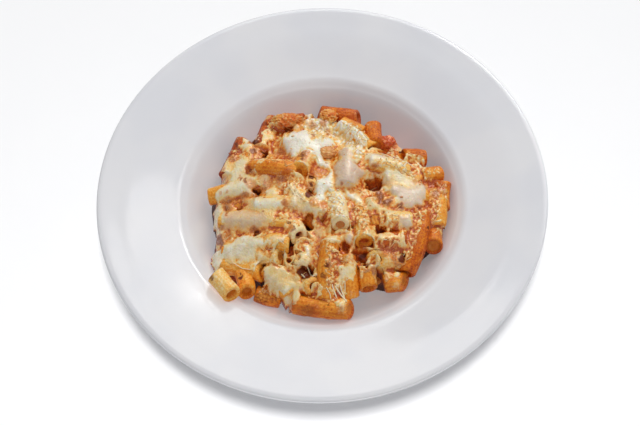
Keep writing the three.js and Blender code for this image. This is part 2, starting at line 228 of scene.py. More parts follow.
# Open ends that filling closes again a little way in, by the end's place, in millimetres.
FILLED_ENDS = {
    (72, -40, 34): 1.8,
    (39, 35, 43): 2.0,
    (14, -83, 36): 0.6,
    (51, -63, 32): 1.0,
    (-29, -45, 43): 0.8,
    (11, -29, 51): 2.2,
    (-61, -71, 43): 5.5,
    (-42, -54, 38): 1.0,
    (-52, -68, 39): 4.0,
    (26, -40, 46): 3.0,
    (-14, 13, 52): 1.6,
    (-23, -39, 45): 2.0,
}

LOWER_RING = {
    "count": 13,
    "inset": 8.0,
    "height": 24.0,
    "length": 30.0,
    "radius": 5.6,
    "slant": 24.0,
    "turn_step": 97.0,
    "tone": 0.55,
    "tucked": {10: 0.55},  # how much of its second half a tube keeps back under the heap
}

CORE_REACH = (74, 62, 60, 64, 63, 61, 66, 70, 68, 76, 72, 73)  # every 30 degrees round from +X
CORE_EDGE = 22.0
CORE_RISE = 26.0

# ---------------------------------------------------------------- what lies on the heap
# Outlines and spots in the camera's picture.

# Pools of melted cheese: thickness, whiteness, tint (-1 greenish, 1 pinkish), outline.
POOLS = {
    "left_half": (0.8, 0.5, 0.1, [
        (221, 166), (236, 158), (247, 172), (254, 184), (243, 192), (231, 200), (226, 208),
        (240, 206), (250, 198), (262, 196), (286, 197), (292, 206), (276, 214), (268, 228),
        (250, 233), (236, 232), (216, 228), (214, 210), (218, 190)]),
    "right_base": (0.9, 0.6, 0.6, [
        (382, 169), (392, 168), (402, 172), (412, 178), (424, 183), (430, 186), (428, 198),
        (420, 204), (410, 206), (400, 201), (390, 192), (382, 184)]),
    "top": (2.0, 1.05, -0.2, [
        (280, 136), (287, 136), (290, 131), (297, 129), (306, 128), (310, 131), (313, 138),
        (320, 139), (327, 136), (334, 139), (336, 143), (330, 148), (325, 152), (324, 158),
        (329, 163), (327, 167), (320, 166), (315, 162), (314, 156), (308, 151), (302, 151),
        (299, 156), (293, 157), (287, 154), (284, 148), (280, 143)]),
    "upper_left": (1.0, 0.75, 0.3, [
        (241, 137), (247, 136), (251, 139), (252, 146), (249, 151), (242, 150)]),
    "back_left": (0.9, 0.8, 0.2, [
        (259, 137), (264, 133), (270, 131), (276, 134), (275, 140), (266, 141)]),
    "left": (1.3, 0.72, -0.3, [
        (240, 153), (248, 157), (255, 159), (250, 163), (246, 167), (247, 172), (251, 175),
        (259, 172), (257, 180), (254, 187), (252, 195), (243, 198), (230, 199), (217, 200),
        (215, 192), (221, 186), (229, 181), (227, 173), (232, 165), (237, 158)]),
    "stub": (0.8, 0.6, 0.7, [
        (258, 177), (264, 171), (271, 174), (272, 184), (268, 191), (261, 189)]),
    "behind_coat": (1.0, 0.8, -0.5, [
        (262, 190), (269, 186), (276, 184), (281, 188), (280, 197), (264, 198)]),
    "coat_upper": (1.1, 1.0, 0.1, [
        (250, 202), (254, 197), (264, 197), (276, 198), (284, 200), (283, 207), (276, 211),
        (264, 211), (253, 209)]),
    "coat_lower": (1.1, 0.62, 0.8, [
        (213, 224), (214, 214), (220, 209), (226, 212), (233, 212), (242, 209), (252, 209),
        (262, 212), (269, 215), (266, 222), (258, 228), (244, 229), (230, 228), (220, 230)]),
    "lip": (1.1, 0.8, -0.1, [
        (213, 207), (220, 206), (223, 211), (222, 218), (224, 224), (218, 227), (220, 233),
        (226, 240), (220, 237), (214, 229), (212, 219)]),
    "front": (1.9, 0.72, -0.7, [
        (213, 252), (217, 248), (224, 246), (229, 242), (234, 240), (236, 235), (248, 233),
        (256, 236), (263, 237), (269, 241), (265, 247), (258, 250), (257, 255), (257, 260),
        (253, 263), (245, 263), (237, 262), (229, 262), (222, 266), (217, 270), (213, 267),
        (211, 261), (211, 256)]),
    "arch": (0.7, 0.6, 0.6, [
        (270, 234), (278, 233), (284, 238), (288, 247), (285, 252), (280, 247), (276, 242),
        (270, 241)]),
    "band": (1.15, 0.5, -0.8, [
        (262, 264), (270, 265), (279, 265), (288, 267), (295, 273), (301, 279), (305, 287),
        (301, 291), (301, 298), (298, 305), (291, 308), (286, 304), (282, 299), (274, 293),
        (266, 287), (262, 281), (261, 273)]),
    "nub": (0.9, 0.9, 0.3, [
        (296, 257), (301, 255), (305, 258), (305, 263), (299, 265), (295, 262)]),
    "beside_nub": (1.3, 0.95, 0.3, [
        (303, 244), (308, 242), (312, 247), (313, 254), (309, 258), (304, 256)]),
    "dome": (1.5, 0.8, 1.0, [
        (337, 150), (342, 148), (348, 147), (353, 151), (354, 158), (360, 165), (365, 170),
        (365, 176), (360, 180), (355, 186), (348, 189), (340, 187), (334, 188), (333, 180),
        (334, 170), (333, 163), (338, 159)]),
    "middle": (2.0, 1.05, 0.0, [
        (324, 161), (330, 162), (333, 168), (333, 178), (332, 187), (327, 191), (326, 198),
        (321, 203), (315, 201), (313, 195), (315, 188), (318, 179), (327, 174), (329, 168)]),
    "between": (1.3, 0.9, 0.2, [
        (343, 189), (350, 189), (357, 193), (365, 197), (365, 206), (357, 203), (350, 199),
        (345, 196)]),
    "band_middle": (0.9, 0.85, 0.4, [
        (289, 185), (296, 186), (300, 192), (304, 199), (310, 203), (316, 207), (320, 212),
        (314, 214), (304, 213), (296, 210), (290, 204), (288, 195)]),
    "stretched": (0.5, 0.55, 0.5, [
        (313, 227), (320, 225), (328, 228), (328, 236), (321, 241), (314, 238)]),
    "under_ring": (0.9, 0.75, 0.2, [(326, 233), (338, 234), (341, 238), (336, 241), (326, 241)]),
    "beside_ring": (1.1, 0.85, 0.7, [(343, 232), (350, 230), (355, 234), (353, 240), (345, 243)]),
    "lobe": (1.2, 0.95, 0.5, [
        (363, 152), (370, 150), (378, 150), (384, 153), (387, 158), (382, 162), (375, 161),
        (369, 162), (364, 160)]),
    "streak": (0.8, 0.8, 0.3, [
        (386, 158), (393, 158), (401, 163), (408, 168), (405, 171), (396, 167), (387, 163)]),
    "right_upper": (1.3, 1.0, 0.2, [
        (381, 171), (390, 168), (398, 170), (404, 175), (412, 178), (417, 183), (420, 187),
        (412, 189), (403, 188), (398, 183), (392, 177), (383, 178)]),
    "right_arm": (1.2, 0.85, 0.2, [
        (381, 181), (388, 185), (397, 187), (398, 195), (389, 192), (383, 190), (379, 186)]),
    "right": (2.0, 0.78, 0.8, [
        (390, 188), (400, 185), (410, 186), (418, 184), (426, 184), (429, 189), (427, 197),
        (421, 204), (411, 208), (402, 206), (395, 199)]),
    "greenish": (1.0, 0.7, -0.9, [
        (366, 198), (374, 199), (380, 205), (390, 208), (398, 212), (390, 215), (380, 212),
        (370, 211), (365, 205)]),
    "right_end": (1.2, 0.85, 0.9, [
        (398, 215), (407, 214), (413, 218), (414, 225), (408, 230), (400, 228)]),
    "under_pocket": (0.6, 0.6, 0.3, [
        (366, 227), (373, 226), (377, 233), (384, 232), (394, 231), (400, 234), (407, 238),
        (409, 246), (404, 251), (399, 247), (398, 240), (388, 238), (376, 238), (368, 237)]),
    "strip": (1.1, 0.85, 0.0, [
        (339, 263), (347, 264), (351, 270), (353, 278), (348, 280), (343, 281), (341, 288),
        (335, 291), (334, 284), (337, 277), (337, 269)]),
    "cap": (1.1, 0.9, 0.6, [
        (394, 276), (400, 273), (405, 277), (406, 283), (402, 284), (398, 281)]),
    "end_front": (0.35, 0.4, 0.0, [
        (343, 301), (349, 299), (355, 301), (356, 310), (353, 317), (346, 318), (340, 312)]),
    "edge_pale": (0.7, 0.7, 0.3, [(400, 285), (404, 286), (405, 290), (401, 292), (398, 289)]),
}

FRONT_PART = 10.0  # the outline counts for places nearer the camera than this y
# The heap's outline in the picture: in front, nothing of the sauce bed shows outside it.
OUTLINE = [
    (203, 192), (206, 206), (210, 225), (214, 241), (211, 252), (211, 264), (206, 274), (214, 288),
    (226, 304), (253, 293), (262, 299), (270, 295), (284, 303), (303, 313), (340, 320), (353, 312),
    (353, 297), (362, 292), (372, 291), (385, 294), (397, 290), (406, 280), (424, 262), (444, 246),
    (446, 205), (451, 183), (437, 167), (424, 150), (401, 150), (384, 134), (366, 122), (345, 110),
    (318, 106), (281, 112), (250, 131), (236, 137), (217, 175),
]

# Where a thin film of cheese and sauce joins the tubes, and spots that stay nearly free of it.
FILM = [
    (222, 168), (240, 144), (262, 130), (290, 124), (310, 118), (340, 118), (362, 130), (380, 148),
    (400, 155), (420, 163), (436, 172), (447, 192), (441, 215), (427, 232), (414, 250), (406, 262),
    (397, 276), (380, 285), (362, 288), (354, 298), (357, 308), (354, 318), (346, 319), (338, 306),
    (326, 300), (300, 292), (283, 292), (262, 280), (246, 265), (226, 262), (212, 262), (215, 214),
    (218, 190),
]
FILM_GAPS = [
    (275, 166, 20, 8, 0.9), (241, 160, 7, 12, 0.8), (230, 172, 8, 8, 0.6), (266, 145, 8, 7, 0.7),
    (262, 281, 12, 6, 0.8), (352, 290, 8, 10, 0.8), (330, 285, 8, 14, 0.5), (364, 232, 8, 10, -0.2),
    (391, 263, 8, 8, 0.8), (388, 248, 9, 6, 0.4), (368, 281, 9, 10, 0.8), (416, 240, 9, 20, 0.8),
    (434, 225, 9, 14, 0.5), (433, 175, 10, 6, 0.5), (374, 134, 8, 9, 0.8), (278, 224, 9, 8, 0.6),
    (263, 182, 5, 8, 0.6), (308, 168, 7, 8, 0.5), (388, 220, 8, 8, 0.5), (331, 252, 8, 10, 0.3),
    (344, 212, 8, 8, 0.3), (409, 159, 8, 6, 0.6), (346, 115, 16, 7, 1.0), (288, 118, 14, 8, 1.0),
]

# Granular crust of browned, shredded cheese: cover, whiteness, outline.
CRUSTS = {
    "lace": (0.1, 0.4, [
        (254, 126), (264, 117), (276, 119), (283, 127), (283, 138), (276, 141), (268, 140),
        (260, 145), (252, 134)]),
    "across": (0.2, 0.65, [
        (380, 148), (392, 150), (404, 156), (414, 164), (420, 172), (412, 176), (400, 170),
        (388, 162), (380, 156)]),
    "back": (0.5, 1.1, [
        (305, 113), (318, 112), (335, 119), (350, 122), (361, 129), (366, 137), (365, 150),
        (360, 163), (354, 152), (345, 147), (337, 142), (328, 134), (312, 134), (306, 128)]),
    "back_left": (-0.1, 0.35, [
        (262, 126), (276, 122), (290, 127), (290, 135), (278, 136), (262, 133)]),
    "middle": (0.1, 0.45, [(281, 178), (296, 178), (304, 188), (300, 200), (288, 202), (281, 192)]),
    "ring_top": (0.3, 1.0, [
        (328, 189), (345, 190), (348, 205), (346, 220), (330, 214), (327, 202)]),
    "back_edge": (0.15, 0.3, [
        (404, 152), (420, 152), (434, 160), (438, 168), (446, 174), (449, 184), (436, 186),
        (420, 176), (408, 166)]),
    "golden": (0.05, 0.35, [
        (349, 205), (372, 205), (372, 232), (364, 238), (352, 232), (347, 216)]),
    "back_right": (0.1, 0.6, [
        (402, 156), (430, 156), (433, 167), (425, 180), (410, 177), (402, 168)]),
    "right": (-0.1, 0.12, [
        (410, 207), (430, 202), (447, 192), (448, 215), (444, 238), (426, 232), (414, 222)]),
    "strip_right": (-0.2, 0.15, [
        (420, 168), (440, 166), (448, 176), (447, 190), (434, 186), (424, 180)]),
    "strip_left": (-0.05, 0.25, [
        (253, 283), (262, 281), (272, 286), (281, 292), (277, 297), (266, 293), (256, 290)]),
    "slope": (-0.1, 0.25, [(405, 230), (423, 226), (424, 250), (416, 262), (404, 256)]),
    "reddish": (-0.15, 0.12, [(376, 238), (402, 238), (406, 250), (400, 257), (380, 257)]),
    "short": (0.05, 0.45, [(380, 210), (400, 212), (398, 229), (382, 229)]),
    "front": (-0.1, 0.15, [(319, 241), (337, 241), (347, 262), (336, 292), (323, 296), (318, 264)]),
    "left": (-0.1, 0.4, [(220, 160), (236, 150), (240, 158), (228, 175), (219, 178)]),
}

# Sunken places: middle, half width, half height, depth.
PITS = [
    (308, 221, 5, 8, 8), (305, 272, 7, 7, 13), (312, 181, 3, 7, 8), (308, 194, 4, 5, 9),
    (360, 255, 8, 7, 7), (367, 265, 3, 3, 6), (374, 184, 9, 6, 7), (374, 169, 7, 3.5, 3.5),
    (375, 218, 5, 7, 5), (380, 229, 5, 5, 5), (395, 231, 5, 3, 5), (402, 257, 5, 5, 5),
    (338, 246, 3, 4, 4), (354, 224, 4, 3, 3), (236, 278, 4, 5, 6), (228, 235, 5, 6, 1.5),
    (289, 223, 2, 1.5, 6), (256, 231, 4, 4, 4), (267, 264, 3, 3, 4), (290, 251, 4, 5, 4),
    (289, 259, 4, 2.5, 3), (321, 281, 2, 5, 5), (357, 281, 3, 6, 6), (380, 275, 3, 7, 6),
    (356, 164, 5, 1.5, 3), (424, 245, 2.5, 8, 6), (402, 152, 4, 3, 4), (433, 163, 3, 6, 4),
    (222, 203, 4, 3, 3), (239, 205, 8, 4, 4), (257, 191, 4, 4, 4), (262, 152, 4, 4, 2),
    (254, 141, 3, 6, 4), (322, 218, 5, 7, 3), (345, 250, 6, 8, 3),
]

# Where the filling stands up between the outer tubes: middle, radius and top, in millimetres.
MOUNDS = [
    (-67, -27, 13, 38), (-70, -10, 8, 38), (-68, 0, 8, 37), (-48, 50, 10, 38), (-38, 55, 9, 40),
    (-5, 66, 8, 38), (30, 58, 8, 37), (52, 32, 9, 41), (68, 19, 9, 40), (62, 4, 9, 41),
    (75, 12, 8, 37), (-60, 30, 8, 36), (-44, 36, 8, 40), (-29, -62, 7, 39),
]

# Browned spots on cheese and tubes, and painted shade in gaps, under edges and on lower sides:
# middle, radius, strength.
BROWNED_AND_SHADED = [
    (250, 167, 4, 0.4), (250, 171, 2, 1.0), (240, 178, 2, 1.0), (245, 181, 2, 1.0),
    (255, 230, 4, 0.9), (264, 264, 3, 0.8), (380, 195, 5, 1.15), (387, 202, 5, 1.15),
    (392, 198, 2.5, 0.8), (401, 207, 4, 1.1), (342, 184, 2, 0.8), (335, 175, 2, 0.5),
    (328, 266, 5, 0.8), (293, 229, 4, 0.7), (285, 203, 4, 0.7), (238, 146, 3, 0.9),
    (223, 168, 4, 0.6), (280, 152, 5, 0.7), (305, 154, 5, 0.8), (324, 173, 4, 0.6),
    (262, 252, 2, 0.6), (271, 253, 1.5, 0.7), (244, 241, 1.5, 0.4), (353, 208, 3, 0.8),
    (419, 209, 4, 0.7), (427, 227, 2, 1.0), (328, 304, 3, 0.7), (312, 125, 4, 0.6),
    (323, 123, 4, 0.6), (313, 135, 2, 0.8), (328, 132, 4, 0.5), (221, 227, 4, 0.6),
    (211, 277, 3, 0.7), (322, 300, 3, 0.5), (260, 205, 2, 0.2), (408, 173, 2, 0.5),
    (305, 272, 7, 1.3), (362, 256, 5, 0.9), (260, 297, 9, 0.5), (402, 259, 5, 1.0),
    (254, 151, 4, 1.3), (311, 177, 3, 0.9), (310, 185, 3, 0.9), (308, 194, 4, 1.1),
    (220, 240, 6, 1.2), (303, 158, 5, 0.7), (255, 192, 6, 0.9), (245, 196, 5, 0.7),
    (227, 206, 6, 0.8), (320, 205, 4, 0.5), (263, 191, 4, 0.6), (254, 142, 4, 1.2),
    (313, 201, 5, 0.6), (415, 181, 4, 0.4), (324, 208, 4, 0.6), (324, 275, 5, 0.7),
    (275, 300, 5, 0.5), (262, 297, 11, 0.55), (308, 311, 10, 0.55), (324, 305, 7, 0.4),
    (387, 278, 4, 0.6), (366, 270, 4, 0.7), (436, 194, 5, 0.8), (374, 168, 5, 0.4),
    (401, 153, 2, 1.0), (262, 152, 3, 0.7), (380, 201, 3, 1.1), (233, 158, 5, 0.8),
    (250, 184, 6, 0.5), (317, 173, 5, 0.6), (281, 179, 6, 0.8), (374, 271, 4, 0.8),
    (228, 202, 6, 0.8), (240, 277, 3, 0.9), (227, 213, 2.5, 0.9), (229, 235, 4, 0.7),
    (228, 193, 1.5, 0.5), (221, 193, 1.5, 0.4), (300, 289, 3, 0.5), (266, 236, 2, 0.4),
]

# Redder sauce: middle, radius, strength.
REDDENED = [
    (250, 168, 6, 1.0), (354, 256, 6, 0.6), (334, 262, 6, 0.5), (340, 296, 5, 0.6),
    (288, 118, 11, 0.9), (301, 121, 7, 0.7), (284, 126, 6, 0.9), (331, 115, 5, 1.0),
    (322, 112, 5, 0.5), (356, 118, 8, 0.7), (389, 147, 9, 1.0), (384, 141, 5, 0.9),
    (420, 153, 5, 0.8), (422, 181, 4, 1.0), (438, 188, 9, 1.0), (225, 181, 4, 0.8),
    (266, 183, 4, 0.8), (240, 204, 7, 0.7), (286, 205, 4, 0.9), (308, 220, 6, 1.0),
    (323, 218, 5, 0.6), (309, 190, 5, 0.8), (354, 223, 4, 0.9), (348, 250, 9, 0.8),
    (364, 245, 6, 0.9), (360, 257, 7, 1.0), (388, 247, 9, 1.0), (413, 240, 7, 0.7),
    (434, 246, 8, 1.0), (430, 220, 6, 0.6), (343, 311, 7, 0.6), (295, 308, 8, 0.6),
    (375, 218, 5, 0.8), (375, 170, 6, 0.9), (374, 184, 8, 0.8), (306, 272, 6, 0.9),
    (262, 152, 5, 0.9), (228, 235, 5, 0.6), (397, 264, 5, 0.7), (380, 280, 4, 0.8),
    (233, 279, 4, 0.9), (394, 258, 6, 0.9), (311, 186, 5, 0.8), (402, 266, 5, 0.8),
    (312, 310, 9, 0.7),
]


# ---------------------------------------------------------------- fields over the heap

END_SLANT = 0.3  # how far an open end's top is cut back, as a share of its height
SHEET_SPAN = (500, 0.004)  # rounds of settling and sag of the sheet over the heap
BED_SPAN = (260, 0.02)  # the same for the filling between the tubes
BED = {
    "below": 2.0,  # how far the filling lies below a sheet over the tubes
    "slope": (0.72, 1.05),  # shares of the core's reach over which it falls further
    "fall": 2.6,  # and by how much
    "end": (1.04, 1.2),  # shares over which it gives way to the dish
    "in_core": 6.0,  # how far below the core's surface it lies at the most
    "core_pit": 0.6,  # share of a pit that deepens this
    "mound": 9.0,  # how far a mound falls from its top to its edge
    "pit": 0.8,  # share of a pit's depth that it sinks
    "under_dish": 1.5,  # how far it goes below the dish's face where it has ended
    "outside": (2.0, 6.0),  # picture pixels inside the outline over which it comes up
    "ragged": 1.3,  # how strongly its pits' outlines wander
}
# The space in front of an open end that stays free: distances ahead of it in millimetres where it
# begins and ends, and distances beside its axis in radii.
FREE_SPACE = {"begins": (-0.9, 0.3), "ends": (3.5, 6.5), "beside": (0.85, 1.15)}
GRID_STEP = 0.6
GRID_HALF = 96.0
GRID_COUNT = int(round(2 * GRID_HALF / GRID_STEP))


def smooth_step(value, low, high):
    along = np.clip((value - low) / (high - low), 0.0, 1.0)
    return along * along * (3 - 2 * along)


def ripple(x, y, size, layer):
    """A smooth random field between about -1 and 1, with features of a given size."""
    points = np.stack([x, y], 1) / size
    return np.array([noise.noise((a, b, layer * 7.3)) for a, b in points])


def pebbles(x, y, size, layer):
    """Rounded grains of a given size: 1 at the middle of a grain, 0 between grains."""
    points = np.stack([x, y], 1) / size
    distance = np.array([noise.voronoi((a, b, layer * 5.1))[0][0] for a, b in points])
    return 1 - np.clip(distance * 1.35, 0, 1)


# Fields that are added up over a surface: kind, size of its features, layer, strength.
BED_GRAINS = [(pebbles, 2.6, 1, 1.1), (ripple, 7.0, 2, 0.9), (ripple, 1.5, 3, 0.35)]
CHEESE_LUMPS = [(pebbles, 2.0, 12, 1.1), (pebbles, 1.2, 16, 0.4)]
CHEESE_WAVES = [(ripple, 6.0, 14, 0.35), (ripple, 2.0, 15, 0.16)]
LUMPS_MIDDLE = 0.62  # what the lumps of cheese come to on average


def added_up(x, y, fields):
    """The sum of fields at places."""
    return sum(strength * kind(x, y, size, layer) for kind, size, layer, strength in fields)


def inside_distance(points, outline):
    """How far points lie inside an outline, in picture pixels; outside is negative."""
    corners = np.array(outline, float)
    inside = np.zeros(len(points), bool)
    nearest = np.full(len(points), 1e9)
    for a, b in zip(corners, np.roll(corners, -1, 0)):
        side = b - a
        along = np.clip(((points - a) @ side) / (side @ side), 0, 1)
        off = points - a - along[:, None] * side
        nearest = np.minimum(nearest, np.hypot(off[:, 0], off[:, 1]))
        crosses = (a[1] > points[:, 1]) != (b[1] > points[:, 1])
        if side[1] != 0:
            at = a[0] + (points[:, 1] - a[1]) * side[0] / side[1]
            inside ^= crosses & (points[:, 0] < at)
    return np.where(inside, nearest, -nearest)


def oval_distance(points, across, down, wide, high):
    """How far points lie from the middle of an oval in the picture, 1 at its edge."""
    return np.hypot((points[:, 0] - across) / wide, (points[:, 1] - down) / high)


SPOT_EDGE = (0.45, 1.35)  # radii between which a spot fades


def spotted(points, spots):
    """The strongest of a list of soft round spots over each point."""
    value = np.zeros(len(points))
    for across, down, radius, strength in spots:
        distance = np.hypot(points[:, 0] - across, points[:, 1] - down)
        fade = smooth_step(distance, SPOT_EDGE[0] * radius, SPOT_EDGE[1] * radius)
        value = np.maximum(value, strength * (1 - fade))
    return value


def core_reach(angle):
    """How far the heap's core reaches from the middle at an angle."""
    place = (angle / (2 * math.pi) % 1) * len(CORE_REACH)
    first = np.floor(place).astype(int)
    between = (1 - np.cos((place - first) * math.pi)) / 2
    reach = np.array(CORE_REACH, float)
    count = len(CORE_REACH)
    return reach[first % count] * (1 - between) + reach[(first + 1) % count] * between


def lower_ring():
    """Rows for the tubes that close the heap's foot all round."""
    ring = LOWER_RING
    rows = []
    for i in range(ring["count"]):
        place = i / ring["count"] * 2 * math.pi
        swing = math.radians(ring["slant"]) * math.sin(math.radians(i * ring["turn_step"]))
        heading = place + math.pi / 2 + swing
        out = float(core_reach(np.array([place]))[0]) - ring["inset"]
        middle = Vector((out * math.cos(place), out * math.sin(place), ring["height"]))
        half = Vector((math.cos(heading), math.sin(heading), 0)) * (ring["length"] / 2)
        kept = 1 - ring["tucked"].get(i, 0.0)
        ends = tuple(middle - half), tuple(middle + half * kept)
        rows.append((*ends, ring["radius"], 0, ring["tone"]))
    return rows


def all_rows():
    """Every tube of the heap, those that show and the lower ring."""
    return [row for rows in TUBES.values() for row in rows] + lower_ring()


def wander(x, y, far, near):
    """Offsets in picture pixels that make an outline ragged, broad and fine."""
    broad = np.stack([ripple(x, y, 3.6, 21), ripple(x, y, 3.6, 22)], 1)
    fine = np.stack([ripple(x, y, 1.4, 23), ripple(x, y, 1.4, 24)], 1)
    return broad * far + fine * near


class Heap:
    """Heights of the heap on a square grid, and what lies where on it."""

    def __init__(self):
        side = np.arange(GRID_COUNT + 1) * GRID_STEP - GRID_HALF
        across, along = np.meshgrid(side, side)
        self.x, self.y = across.ravel(), along.ravel()
        self.shape = across.shape
        radius = np.hypot(self.x, self.y)
        line = np.array(upper_profile())
        self.dish = np.interp(radius, line[:, 0], line[:, 1])
        angle = np.arctan2(self.y, self.x)
        share = radius / core_reach(angle)
        self.core = CORE_EDGE + CORE_RISE * np.maximum(0, 1 - share**2) ** 0.6
        self.core = np.where(share < 1, self.core, 0)
        self.tubes = self.tube_heights()
        solid = np.maximum(np.maximum(self.tubes, self.core), self.dish)
        self.before_ends, self.end_floor = self.open_fronts()
        self.warp = wander(self.x, self.y, 2.4, 1.2)
        self.bed = self.make_bed(solid, share)
        self.top = self.blur(np.maximum(self.tubes, self.bed), 1)
        self.sheet = self.drape(self.top, *SHEET_SPAN)
        self.view = picture_of(np.stack([self.x, self.y, self.sheet], 1))

    def tube_heights(self):
        """The upper side of all tubes, 0 where there is none."""
        height = np.zeros(len(self.x))
        for first, second, radius, bow, *_ in all_rows():
            a, b = np.array(first, float), np.array(second, float)
            side = b[:2] - a[:2]
            along = ((self.x - a[0]) * side[0] + (self.y - a[1]) * side[1]) / (side @ side)
            off = ((self.x - a[0]) * side[1] - (self.y - a[1]) * side[0]) / math.hypot(*side)
            middle = a[2] + (b[2] - a[2]) * along + 4 * bow * along * (1 - along)
            over = (along >= 0) & (along <= 1) & (np.abs(off) < radius)
            rise = middle + np.sqrt(np.maximum(0, radius**2 - off**2))
            height = np.where(over, np.maximum(height, rise), height)
        return height

    def open_fronts(self):
        """Where the space in front of open tube ends lies, and how high it may be filled."""
        near = np.zeros(len(self.x))
        floor = np.full(len(self.x), 99.0)
        for first, second, radius, _, _, *opening in all_rows():
            opened, hole = opening or ("", 0.0)
            ends = {"a": (first, second), "b": (second, first)}
            for mark in opened:
                lean, turn = END_CUTS.get(ends[mark][0], (END_SLANT, 0.0))
                end, back = (np.array(p, float) for p in ends[mark])
                out = (end - back)[:2]
                out /= np.hypot(*out)
                ahead = (self.x - end[0]) * out[0] + (self.y - end[1]) * out[1]
                off = (self.x - end[0]) * out[1] - (self.y - end[1]) * out[0]
                rise = max(0.0, (end - back)[2] / np.linalg.norm(end - back))
                ahead += radius * (rise + lean) * np.sqrt(np.maximum(0, 1 - (off / radius) ** 2))
                ahead += turn * (off if mark == "a" else -off)
                inner, outer = (share * radius for share in FREE_SPACE["beside"])
                value = 1 - smooth_step(np.abs(off), inner, outer)
                value *= smooth_step(ahead, *FREE_SPACE["begins"])
                value *= 1 - smooth_step(ahead, *FREE_SPACE["ends"])
                above = smooth_step(self.tubes - end[2] - 0.3 * radius, 0, 2)
                value *= 1 - above * (ahead > radius * (rise + lean + 0.1))
                near = np.maximum(near, value)
                low = end[2] - 0.8 * hole - 1.0
                floor = np.where(value > 0.4, np.minimum(floor, low), floor)
        return near, floor

    def blur(self, values, passes):
        """A grid field softened by a number of rounds."""
        grid = values.reshape(self.shape)
        for _ in range(passes):
            edge = np.pad(grid, 1, mode="edge")
            grid = (2 * edge[1:-1, 1:-1] + edge[:-2, 1:-1] + edge[2:, 1:-1]
                    + edge[1:-1, :-2] + edge[1:-1, 2:]) / 6
        return grid.ravel()

    def drape(self, under, passes, sag):
        """A skin laid on heights that spans their valleys and sags a little between."""
        floor = under.reshape(self.shape)
        skin = floor.copy()
        for _ in range(passes):
            edge = np.pad(skin, 1, mode="edge")
            level = (edge[:-2, 1:-1] + edge[2:, 1:-1] + edge[1:-1, :-2] + edge[1:-1, 2:]) / 4
            skin = np.maximum(floor, level - sag)
        return skin.ravel()

    def make_bed(self, solid, share):
        """The sauce and soft filling between the tubes: below their tops, deeper in the pits."""
        spanned = self.drape(solid, *BED_SPAN)
        view = picture_of(np.stack([self.x, self.y, spanned], 1)) + BED["ragged"] * self.warp
        sunk = np.zeros(len(self.x))
        for *oval, depth in PITS:
            distance = oval_distance(view, *oval)
            sunk = np.maximum(sunk, BED["pit"] * depth * (1 - smooth_step(distance, 0.3, 1.5)))
        filled = spanned - BED["below"] - BED["fall"] * smooth_step(share, *BED["slope"]) - sunk
        grains = added_up(self.x, self.y, BED_GRAINS)
        level = np.maximum(filled, self.core - BED["in_core"] - BED["core_pit"] * sunk)
        for x, y, radius, top in MOUNDS:
            off = np.hypot(self.x - x, self.y - y) / radius
            mound = top - BED["mound"] * off**3
            level = np.where(off < 1.5, np.maximum(level, mound), level)
        lowered = np.minimum(level, self.end_floor - 0.5)
        level = level * (1 - self.before_ends) + lowered * self.before_ends + grains
        edge = smooth_step(share, *BED["end"])
        hidden = self.dish - BED["under_dish"]
        level = level * (1 - edge) + hidden * edge
        foot = picture_of(np.stack([self.x, self.y, self.dish], 1))
        outside = 1 - smooth_step(inside_distance(foot, OUTLINE), *BED["outside"])
        outside = self.blur(np.where(self.y < FRONT_PART, outside, 0), 3)
        return level * (1 - outside) + np.minimum(level, hidden) * outside

    def sample(self, values, x, y):
        """A grid field read between its points."""
        grid = values.reshape(self.shape)
        across, along = (np.clip((np.asarray(side) + GRID_HALF) / GRID_STEP, 0, GRID_COUNT - 1e-6)
                         for side in (x, y))
        i, j = across.astype(int), along.astype(int)
        u, v = across - i, along - j
        low = grid[j, i] * (1 - u) + grid[j, i + 1] * u
        high = grid[j + 1, i] * (1 - u) + grid[j + 1, i + 1] * u
        return low * (1 - v) + high * v

    def under_pixel(self, across, down):
        """The point of the heap that shows at a place in the picture."""
        matrix = np.array(camera_matrix())
        off = (across - PICTURE[0] / 2, PICTURE[1] / 2 - down)
        ray = matrix[:3, :3] @ np.array([off[0] / CAMERA["focus"], off[1] / CAMERA["focus"], -1])
        eye = matrix[:3, 3]
        height = CAMERA["target"][2]
        for _ in range(25):
            point = eye + ray * (height - eye[2]) / ray[2]
            height = 0.5 * height + 0.5 * float(self.sample(self.sheet, point[0], point[1]))
        return Vector(eye + ray * (height - eye[2]) / ray[2])


# ---------------------------------------------------------------- node materials


def linear(colour):
    """A colour given as 0 to 255 per channel, ready for a shader."""
    parts = [c / 255 for c in colour]
    return tuple(c / 12.92 if c <= 0.04045 else ((c + 0.055) / 1.055) ** 2.4 for c in parts) + (1,)


def sign(operation, turned=False):
    """An arithmetic sign as a maths node; turned swaps its two terms."""

    def apply(self, other):
        terms = (other, self) if turned else (self, other)
        return self.surface.sum(operation, *terms)

    return apply


class Value:
    """A number or colour between nodes, which ordinary arithmetic works on."""

    def __init__(self, surface, socket):
        self.surface, self.socket = surface, socket

    __add__, __radd__ = sign("ADD"), sign("ADD", True)
    __sub__, __rsub__ = sign("SUBTRACT"), sign("SUBTRACT", True)
    __mul__, __rmul__ = sign("MULTIPLY"), sign("MULTIPLY", True)
    __truediv__, __rtruediv__ = sign("DIVIDE"), sign("DIVIDE", True)


